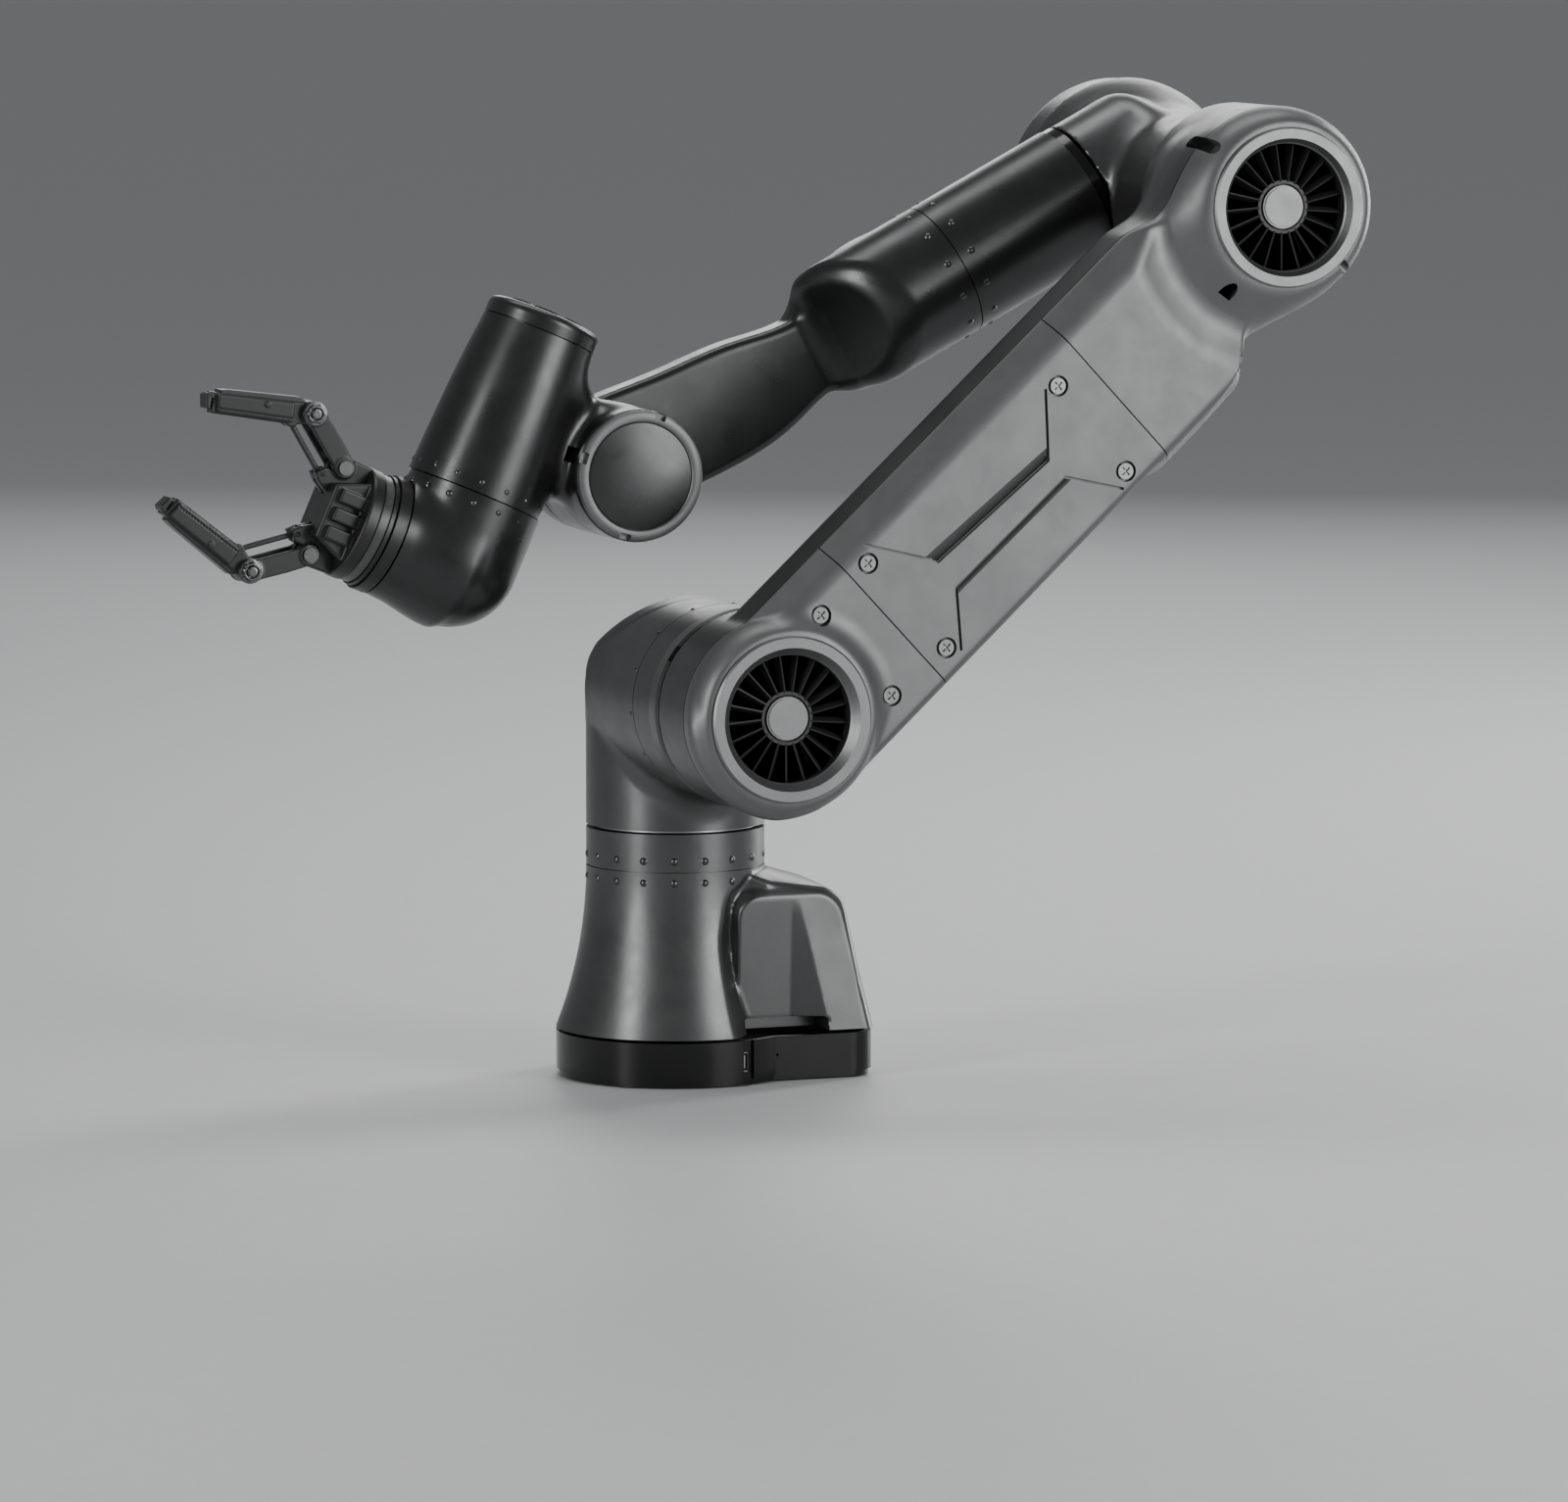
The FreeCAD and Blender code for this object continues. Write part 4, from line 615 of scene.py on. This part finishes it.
def groove(points):
    """A channel that follows a line on the front face, as one closed tool."""
    left, right = [], []
    for i, (x, z) in enumerate(points):
        ways = []
        for j in (i - 1, i):
            if 0 <= j < len(points) - 1:
                run = Vector((points[j + 1][0] - points[j][0], points[j + 1][1] - points[j][1]))
                ways.append(run.normalized())
        mean = sum(ways, Vector((0, 0))).normalized()
        out = Vector((-mean.y, mean.x)) * (GROOVE_WIDTH / 2) / max(0.5, mean.dot(ways[0]))
        left.append((x + out.x, z + out.y))
        right.append((x - out.x, z - out.y))
    outline, floor, top = left + right[::-1], ARM_FACE - GROOVE_DEPTH, ARM_FACE + CLEAR
    return mesh_from("groove", lambda bm: solid_plate(bm, outline, floor, top))


def pocket(points, share, depth):
    """A pocket that slopes down to a groove's long run; share is how far it goes along the groove's ends."""
    end, first, second, start = [Vector(q) for q in points]
    plan = [(first, depth), (second, depth)]
    plan += [(second.lerp(start, share), -0.05), (first.lerp(end, share), -0.05)]

    def build(bm):
        floor = [bm.verts.new((q.x, ARM_FACE - sunk, q.y)) for q, sunk in plan]
        top = [bm.verts.new((q.x, ARM_FACE + CLEAR, q.y)) for q, sunk in plan]
        bm.faces.new(floor)
        bm.faces.new(top[::-1])
        for i in range(4):
            j = (i + 1) % 4
            bm.faces.new((floor[i], top[i], top[j], floor[j]))
    return mesh_from("pocket", build)


def screw_sinks():
    def build(bm):
        for x, z in SCREWS:
            solid_plate(bm, ring_of(40, SINK_R, x, z), ARM_FACE - SINK_DEPTH, ARM_FACE + CLEAR)
    return mesh_from("sinks", build)


def slot_cuts():
    """Two long rounded slots in the elbow barrel and a small notch beside the ring."""
    def prism(bm, angle, y0, y1, half_width, floor):
        """A slot along the barrel, cut in to a radius, at an angle round it."""
        turn = Matrix.Translation((0, 0, ARM_LENGTH)) @ Matrix.Rotation(math.radians(angle), 4, "Y")
        outline = []
        for centre, start in ((y1 - half_width, 0), (y0 + half_width, 180)):
            for i in range(9):
                a = math.radians(start + 90 - i * 22.5)
                outline.append((centre + half_width * math.cos(a), half_width * math.sin(a)))
        rings = [[bm.verts.new(turn @ Vector((x, y, z))) for y, z in outline] for x in (floor, BARREL_R + 4)]
        bm.faces.new(rings[0])
        bm.faces.new(rings[1][::-1])
        for i in range(len(outline)):
            j = (i + 1) % len(outline)
            bm.faces.new((rings[0][i], rings[1][i], rings[1][j], rings[0][j]))

    def build(bm):
        prism(bm, 8, 127, 153, 3.4, 39.6)
        prism(bm, 101, 129, 155, 3.4, 39.6)
        prism(bm, 183, 150, 159, 2.2, 36.0)
    return mesh_from("slots", build)


def make_arm():
    mesh = skin("arm", arm_shape, (-52, 86, -50), (52, 162, ARM_LENGTH + 52))
    rear = carve(between(mesh, 1, None, ARM_SPLIT - GAP), slot_cuts())
    piece("arm_back_half", rear, ARM, "upper_arm", "gunmetal", GUNMETAL, "arm_rear_shell")
    front = between(mesh, 1, ARM_SPLIT, None)
    front = carve(front, screw_sinks())
    lower = between(front, 2, None, LOW_SEAM - GAP / 2)
    piece("arm_shoulder_face", lower, ARM, "upper_arm", "matte_grey", MATTE_GREY, "shoulder_cover")
    middle = between(front, 2, LOW_SEAM + GAP / 2, HIGH_SEAM - GAP / 2)
    middle = carve(middle, groove(LEFT_GROOVE), groove(RIGHT_GROOVE), pocket(LEFT_GROOVE, 0.2, 3.6),
                   pocket(RIGHT_GROOVE, 0.11, 2.6))
    piece("arm_middle_face", middle, ARM, "upper_arm", "matte_grey", MATTE_GREY, "middle_cover")
    upper = carve(between(front, 2, HIGH_SEAM + GAP / 2, None), slot_cuts())
    piece("arm_elbow_face", upper, ARM, "upper_arm", "matte_grey", MATTE_GREY, "elbow_cover")


# ---- elbow and forearm -----------------------------------------------------
KNUCKLE_PROFILE = [(-60, 52), (-30, 52), (4, 42.0), (36, 38.2), (62, 38.6), (90, 41.5), (100, 42.5)]
SOCKET_END, TUBE_R, TUBE_SEAM, TUBE_END = 32.5, 32.0, 111.5, 150.0
KNUCKLE_FRONT, KNUCKLE_BACK = 89.9, -36.4
BLADE_TOP = [(120, 40), (150, 46.5), (166, 38), (186, 34.3), (215, 39.8), (250, 44), (280, 48.5),
             (300, 50.8)]
BLADE_LOW = [(120, 4), (148, -12), (162, -8.6), (178, -4.6), (203, -9.4), (232, -12.2), (264, -10.2),
             (300, -7.6)]
BLADE_BACK, BLADE_FRONT, EYE_X, EYE_R = -22.0, -3.0, 298.0, 29.4


def knuckle_shape(p):
    x, y, z = p
    wall = (np.hypot(x, z) - smooth_curve(KNUCKLE_PROFILE, y)) * 0.92
    middle, half_length = (KNUCKLE_FRONT + KNUCKLE_BACK) / 2, (KNUCKLE_FRONT - KNUCKLE_BACK) / 2
    barrel = edge(wall, np.abs(y - middle) - half_length, 0.8)
    round_tube = np.hypot(y - ROLL.y, z - ROLL.z)
    socket = edge(edge(round_tube - (TUBE_R - 0.6), x - SOCKET_END, 0.6), -12 - x, 16.0)
    body = fillet(barrel, socket, 7.0)
    seat = np.maximum(round_tube - (TUBE_R + 0.7), SOCKET_END - x)
    return -blend(-body, seat, 0.8)


def blade_shape(p):
    x, y, z = p
    tube_wall = np.hypot(y - ROLL.y, z - ROLL.z) - TUBE_R
    slope = half(p, (TUBE_END, ROLL.y + TUBE_R, 0), (math.cos(0.576), math.sin(0.576), 0))
    tube = edge(edge(tube_wall, slope, 9.0), x - 178, 6.0)
    tube = edge(tube, 100 - x, 0.5)
    outline = np.maximum(z - smooth_curve(BLADE_TOP, x), smooth_curve(BLADE_LOW, x) - z) * 0.95
    outline = np.maximum(np.maximum(outline, x - EYE_X + 2), 118 - x)
    eye = np.hypot(x - EYE_X, z - ROLL.z) - EYE_R
    outline = np.minimum(outline, eye)
    depth = np.abs(y - (BLADE_BACK + BLADE_FRONT) / 2) - (BLADE_FRONT - BLADE_BACK) / 2
    blade = edge(outline, depth, 4.0)
    return fillet(tube, blade, 10.0)


def make_forearm():
    mesh = skin("knuckle", knuckle_shape, (-56, -42, -56), (60, 95, 60))
    mesh = between(mesh, 1, KNUCKLE_BACK, KNUCKLE_FRONT)
    piece("elbow_barrel", mesh, FOREARM, "elbow", "gunmetal", GUNMETAL, "elbow_knuckle")
    mesh = skin("blade", blade_shape, (96, -30, -20), (332, 46, 60))
    mesh = between(mesh, 0, TUBE_SEAM + GAP / 2, None)
    piece("forearm_casting", mesh, FOREARM, "forearm", "dark_gunmetal", DARK_METAL, "forearm_blade")


# ---- wrist -----------------------------------------------------------------
WRIST_SEAM, CAP_SEAM, NOSE_END = -35.5, 43.0, 30.5
COLUMN_PROFILE = [(-60, 31.6), (-35.5, 31.4), (-12, 30.4), (17, 28.8), (43, 26.4), (60, 25.0)]
CORNER_R = 31.2
CROSS_R, CROSS_BACK, CROSS_FRONT, CROSS_SEAM = 30.0, -1.4, 55.0, 30.0
LINE_WIDTH = 0.7                          # the seam line round the cross barrel
NOTCH_ANGLES = (86, -5, -98)
RIM_IN, RIM_OUT, RIM_BACK, RIM_FRONT = 24.4, 29.4, 52.0, 58.4


def wrist_shape(p):
    x, y, z = p
    column = (np.hypot(x - TOOL.x, y - TOOL.y) - smooth_curve(COLUMN_PROFILE, z)) * 0.97
    column = edge(column, np.abs(z - 10) - 60, 0.5)
    cross = bar(p, 1, (0, 0), CROSS_R, CROSS_BACK, CROSS_FRONT, 0.8)
    web = brick(p, (4, 6, -19), (56, 41, 25), 9.0)
    return fillet(fillet(web, column, 13.0), cross, 9.0)


def corner_shape(p):
    x, y, z = p
    knee_x, knee_z = TOOL.x - 0.9, TOOL.z + 2.5
    stub = edge(np.hypot(x - knee_x, y - TOOL.y) - CORNER_R, np.abs(z - (knee_z + 20)) - 20, 0.5)
    ball = np.sqrt((x - knee_x) ** 2 + (y - TOOL.y) ** 2 + (z - knee_z) ** 2) - CORNER_R
    run = np.clip((x - TOOL.x) / NOSE_END, -0.3, 1.2)
    nose = (np.hypot(y - TOOL.y, z - TOOL.z) - (28.5 - 1.7 * run)) * 0.98
    nose = edge(nose, np.abs(x - TOOL.x - 20) - 22, 0.5)
    return blend(np.minimum(stub, ball), nose, 7.0)


def radial_cut(bm, angle, r0, r1, half_width, y0, y1):
    """A box that reaches outwards from the Y axis."""
    c, s = math.cos(math.radians(angle)), math.sin(math.radians(angle))
    corners = [(r0, -half_width), (r1, -half_width), (r1, half_width), (r0, half_width)]
    solid_plate(bm, [(r * c - w * s, r * s + w * c) for r, w in corners], y0, y1)


def make_wrist_cover():
    """The ring round the wrist's cover disc, with three notches for a pin tool."""
    inside = [(RIM_IN, RIM_BACK), (27.3, RIM_BACK), (27.3, CROSS_FRONT), (29.1, CROSS_FRONT)]
    outside = [(RIM_OUT, 55.3), (RIM_OUT, 57.4), (29.1, 58.0), (28.4, RIM_FRONT)]
    profile = inside + outside + [(25.2, RIM_FRONT), (24.7, 58.2), (RIM_IN, 57.8)]
    ring = mesh_from("ring", lambda bm: turned_ring(bm, profile, 144))

    def notches(bm):
        for angle in NOTCH_ANGLES:
            radial_cut(bm, angle, 26.6, 32, 2.6, 55.5, 60)
    ring = carve(ring, mesh_from("notches", notches))
    piece("wrist_cover_rim", ring, HAND, "wrist", "matte_grey", MATTE_GREY, "wrist_cover_ring")


def make_wrist():
    mesh = skin("wrist", wrist_shape, (-36, -8, -60), (98, 66, 60))
    inner, outer = CROSS_R - LINE_WIDTH, CROSS_R + 0.9
    profile = [(inner, CROSS_SEAM), (inner, CROSS_SEAM + LINE_WIDTH), (outer, CROSS_SEAM + LINE_WIDTH),
               (outer, CROSS_SEAM)]
    line = mesh_from("line", lambda bm: turned_ring(bm, profile))
    slot = mesh_from("slot", lambda bm: radial_cut(bm, NOTCH_ANGLES[1], 26.5, 34, 3.6, 40, 51.5))
    mesh = carve(between(mesh, 2, WRIST_SEAM + GAP / 2, CAP_SEAM), line, slot)
    piece("wrist_casting", mesh, HAND, "wrist", "dark_gunmetal", DARK_METAL, "wrist_housing")
    mesh = skin("corner", corner_shape, (20, -8, -106), (100, 66, -24))
    mesh = between(between(mesh, 2, None, WRIST_SEAM - GAP / 2), 0, None, TOOL.x + NOSE_END)
    piece("wrist_elbow_casting", mesh, HAND, "wrist", "dark_gunmetal", DARK_METAL, "wrist_corner")


# ---- gripper ---------------------------------------------------------------
TOOL_FRAME = HAND @ Matrix.Translation(TOOL)
FINE = 0.42
PIN_X, PIN_Z = 63.0, 21.0
LINK_ANGLE, LINK_LENGTH = math.radians(36.9), 28.3
FINGER_LEAN = math.radians(14.5)
KNUCKLE_X = PIN_X + LINK_LENGTH * math.cos(LINK_ANGLE)
KNUCKLE_Z = PIN_Z + LINK_LENGTH * math.sin(LINK_ANGLE)
ROD_DX, ROD_DZ = 8.0, -6.5
LUG, PLATE_INSIDE, PLATE_OUTSIDE = 5.6, 6.0, 8.6
ROD_SLOT, ROD_HALF, ROD_PIN, ROD_HOLE, PIN_HOLE = 1.7, 1.2, 1.3, 1.45, 2.5
RIB_PLACES, RIB_HALF = (-8.7, 0.0, 8.7), 3.1


def in_turned(p, x, z, angle):
    """The point in a frame at (x, z) that is turned about Y, with its own X axis raised by the angle."""
    dx, dz = p[0] - x, p[2] - z
    return dx * math.cos(angle) + dz * math.sin(angle), p[1], dz * math.cos(angle) - dx * math.sin(angle)


def eye(p, x, z, radius, low, high, r=0.6):
    return bar(p, 1, (x, z), radius, low, high, r)


def palm_shape(p):
    x, y, z = p
    upper = (x, y, np.abs(z))
    ring = bar(p, 0, (0, 0), 26.0, 44, 50.5, 1.2)
    core = plate(p, [(49, -19), (49, 19), (66, 12.5), (66, -12.5)], -15, 15, 1.2)
    lug = plate(upper, [(49, 14), (49, 25.5), (PIN_X - 1, 26), (PIN_X + 4, 17), (60, 8)], -LUG, LUG, 0.9)
    lug = blend(lug, eye(upper, PIN_X, PIN_Z, 5.2, -LUG, LUG), 1.0)
    rod_lug = plate(upper, [(60, 4), (60, 19), (PIN_X + ROD_DX, 18), (PIN_X + ROD_DX + 3.4, 14),
                            (PIN_X + ROD_DX, 10.5)], -LUG, LUG, 0.7)
    body = np.minimum(np.minimum(blend(ring, core, 1.5), lug), rod_lug)
    for centre in RIB_PLACES:
        rib = brick((x, np.abs(y), z), (49, 13, centre - RIB_HALF), (63, 18.5, centre + RIB_HALF), 0.7)
        body = np.minimum(body, rib)
    slot = np.maximum(np.maximum(PIN_X + 1.5 - x, np.abs(y) - ROD_SLOT), 7 - np.abs(z))
    body = np.maximum(body, -slot)
    body = np.maximum(body, -bar(p, 0, (0, 0), 12.2, 40, 60))
    return np.maximum(body, -(np.hypot(x - PIN_X, np.abs(z) - PIN_Z) - PIN_HOLE))


def link_shape(p):
    q = in_turned(p, PIN_X, PIN_Z, LINK_ANGLE)
    side = (q[0], np.abs(q[1]), q[2])
    outline = [(0, -4.2), (LINK_LENGTH, -4.4), (LINK_LENGTH, 4.6), (LINK_LENGTH * 0.42, 5.0), (0, 4.6)]
    cheek = plate(side, outline, PLATE_INSIDE, PLATE_OUTSIDE, 0.6)
    cheek = blend(cheek, eye(side, 0, 0, 4.9, PLATE_INSIDE, PLATE_OUTSIDE), 1.0)
    cheek = blend(cheek, eye(side, LINK_LENGTH, 0, 5.6, PLATE_INSIDE, PLATE_OUTSIDE), 1.0)
    spacer = brick(q, (8.6, -PLATE_INSIDE - 1, -1.9), (19.6, PLATE_INSIDE + 1, 2.4), 0.4)
    body = np.minimum(cheek, spacer)
    holes = np.minimum(np.hypot(q[0], q[2]) - PIN_HOLE, np.hypot(q[0] - LINK_LENGTH, q[2]) - PIN_HOLE)
    return np.maximum(body, -holes)


def rod_shape(p):
    q = in_turned(p, PIN_X + ROD_DX, PIN_Z + ROD_DZ, LINK_ANGLE)
    rod = brick(q, (0, -ROD_HALF, -1.2), (LINK_LENGTH, ROD_HALF, 1.2), 0.5)
    rod = blend(rod, eye(q, 0, 0, 2.9, -ROD_HALF, ROD_HALF, 0.4), 0.8)
    rod = blend(rod, eye(q, LINK_LENGTH, 0, 2.9, -ROD_HALF, ROD_HALF, 0.4), 0.8)
    ends = np.minimum(np.hypot(q[0], q[2]), np.hypot(q[0] - LINK_LENGTH, q[2]))
    return np.maximum(rod, -(ends - ROD_HOLE))


def finger_shape(p):
    q = in_turned(p, KNUCKLE_X, KNUCKLE_Z, -FINGER_LEAN)
    main = plate(q, [(0, -4.4), (9, -6.2), (46, -6.2), (47.5, 3.2), (6, 4.4), (0, 5.0)], -LUG, LUG, 0.8)
    cheeks = plate(q, [(9.5, -5.2), (44.5, -5.2), (45.5, 2.6), (9.5, 3.6)], -7.6, 7.6, 0.6)
    rail = plate(q, [(3, 4.0), (44, 2.8), (44, 4.6), (40, 5.2), (6, 6.4)], -5, 5, 0.5)
    tip = plate(q, [(44, -5.2), (49.5, -4.4), (50.5, 1.4), (49, 2.6), (44, 2.6)], -5, 5, 0.7)
    body = blend(main, eye(q, 0, 0, 5.2, -LUG, LUG), 1.0)
    for other in (cheeks, rail, tip, bar(q, 1, (22, 1.2), 1.5, -8.4, 8.4, 0.3)):
        body = np.minimum(body, other)
    body = np.maximum(body, -brick(q, (46.6, -9, -7), (47.6, 9, 0.8), 0.1))
    line = brick((q[0], np.abs(q[1]), q[2]), (8, 7.2, -3.7), (46, 9, -3.2), 0.1)
    body = np.maximum(body, -line)
    level = (p[0] - KNUCKLE_X, p[1], p[2] - KNUCKLE_Z)
    outline = [(0, -4), (2, 3), (ROD_DX + 5, 0), (ROD_DX + 3.2, ROD_DZ - 1), (ROD_DX, ROD_DZ - 3.2)]
    lug = plate(level, outline, -LUG, LUG, 0.6)
    lug = np.minimum(lug, eye(level, ROD_DX, ROD_DZ, 3.2, -LUG, LUG))
    body = np.minimum(body, lug)
    slot = np.maximum(np.abs(p[1]) - ROD_SLOT, slab_2d(level[0], level[2], (-20, ROD_DZ - 8),
                                                      (ROD_DX + 4.2, ROD_DZ + 3.8), 1.0))
    body = np.maximum(body, -slot)
    body = np.minimum(body, eye(level, ROD_DX, ROD_DZ, ROD_PIN, -LUG, LUG, 0.1))
    return np.maximum(body, -(np.hypot(level[0], level[2]) - PIN_HOLE))


def pin_shape(p):
    """A shaft with a washer, a hexagon nut and a stud end on both sides."""
    x, y, z = p[0] - KNUCKLE_X, np.abs(p[1]), p[2] - KNUCKLE_Z
    stud = bar(p, 1, (KNUCKLE_X, KNUCKLE_Z), 2.3, -11.6, 11.6, 0.4)
    washer = bar((x, y, z), 1, (0, 0), 5.4, 8.65, 9.4, 0.25)
    turns = [math.radians(a) for a in (10, 70, 130)]
    flats = np.max([np.abs(x * math.cos(a) + z * math.sin(a)) for a in turns], axis=0) - 3.9
    nut = edge(flats, np.abs(y - 10.1) - 0.9, 0.35)
    nut = np.maximum(nut, np.hypot(x, z) + (y - 11.0) - 4.0)
    nut = np.maximum(nut, -bar((x, y, z), 1, (0, 0), 3.0, 10.5, 12))
    return np.minimum(np.minimum(stud, washer), nut)


def lower_half(shape):
    """The lower pieces mirror the upper ones in the tool's level plane."""
    return lambda p: shape((p[0], p[1], -p[2]))


def make_gripper():
    palm = skin("palm", palm_shape, (43, -27.5, -27.5), (77, 27.5, 27.5), FINE)
    piece("palm_block", palm, TOOL_FRAME, "gripper", "grip_black", GRIP_BLACK, "palm")
    bolt_low, bolt_high = (KNUCKLE_X - 7, -13, KNUCKLE_Z - 7), (KNUCKLE_X + 7, 13, KNUCKLE_Z + 7)
    steel, black = ("pin_steel", PIN_METAL), ("grip_black", GRIP_BLACK)
    # piece, its body, shape, field box, slot and look, and the CAD node it replaces, each for the upper side
    kinds = [
        ("knuckle_bolt", "link", pin_shape, bolt_low, bolt_high, steel, "knuckle_pin"),
        ("link_body", "link", link_shape, (56, -12, 14), (93, 12, 46), black, "link"),
        ("rod_body", "rod", rod_shape, (66, -5, 9), (99, 5, 37), black, "rod"),
        ("finger_body", "finger", finger_shape, (78, -12, 14), (138, 12, 46), black, "finger"),
    ]
    for name, body, shape, low, high, finish, node in kinds:
        low_side = (low[0], low[1], -high[2]), (high[0], high[1], -low[2])
        upper = skin(name, shape, low, high, FINE)
        piece("upper_" + name, upper, TOOL_FRAME, "upper_" + body, *finish, "upper_" + node)
        lower = skin(name, lower_half(shape), *low_side, FINE)
        piece("lower_" + name, lower, TOOL_FRAME, "lower_" + body, *finish, "lower_" + node)


# ---- stage -----------------------------------------------------------------
VIEW_AZIMUTH, VIEW_PITCH = math.radians(20.02), math.radians(6.23)
VIEW_RANGE = 3942.45
AIM = Vector((-47.0, 17.1, 149.1))
LENS = 197.12
FLOOR_R = 40.0                            # metres, far past what the camera sees
LIT_POINT = (-0.05, 0.0, 0.22)            # metres
LAMPS = [                                 # name, place, size and power
    ("front", (-1.5, 2.6, 0.92), (1.3, 1.8), 56),
    ("left", (2.3, 0.9, 0.7), (0.45, 1.8), 34),
    ("right", (-2.0, -0.9, 0.7), (0.4, 1.8), 34),
    ("top", (-0.2, -0.5, 2.2), (1.6, 0.7), 14),
    ("rim", (-1.3, -2.6, 1.35), (1.8, 1.0), 20),
]


def make_camera():
    level = math.cos(VIEW_PITCH)
    back = Vector((math.sin(VIEW_AZIMUTH) * level, math.cos(VIEW_AZIMUTH) * level, math.sin(VIEW_PITCH)))
    data = bpy.data.cameras.new("camera")
    data.lens = LENS
    data.sensor_width = 36.0
    data.clip_end = 200.0
    camera = bpy.data.objects.new("camera", data)
    bpy.context.scene.collection.objects.link(camera)
    camera.location = (AIM + back * VIEW_RANGE) * MM
    camera.rotation_euler = (-back).to_track_quat("-Z", "Y").to_euler()
    bpy.context.scene.camera = camera


def make_light(name, where, size, power):
    """A soft rectangular lamp that points at the middle of the arm. Metres and watts."""
    data = bpy.data.lights.new(name, "AREA")
    data.shape = "RECTANGLE"
    data.size, data.size_y = size
    data.energy = power
    lamp = bpy.data.objects.new(name, data)
    bpy.context.scene.collection.objects.link(lamp)
    lamp.location = where
    lamp.rotation_euler = (Vector(LIT_POINT) - Vector(where)).to_track_quat("-Z", "Y").to_euler()


def make_stage():
    rim = ring_of(96, FLOOR_R)
    disc = mesh_from("floor", lambda bm: bm.faces.new([bm.verts.new((x, y, 0)) for x, y in rim]))
    floor = bpy.data.objects.new("floor", disc)
    bpy.context.scene.collection.objects.link(floor)
    disc.materials.append(finish_look("pale floor", 0.6, 0.0, 0.55, spread=0.0, grain=1500, bump=0.0))
    world = bpy.data.worlds.new("studio")
    bpy.context.scene.world = world
    world.use_nodes = True
    sky = world.node_tree.nodes["Background"]
    sky.inputs["Color"].default_value = (0.75, 0.76, 0.78, 1)
    sky.inputs["Strength"].default_value = 0.3
    for lamp in LAMPS:
        make_light(*lamp)


paint_cad()
make_base()
make_turret()
make_arm()
make_forearm()
make_wrist()
make_wrist_cover()
make_gripper()
make_camera()
make_stage()
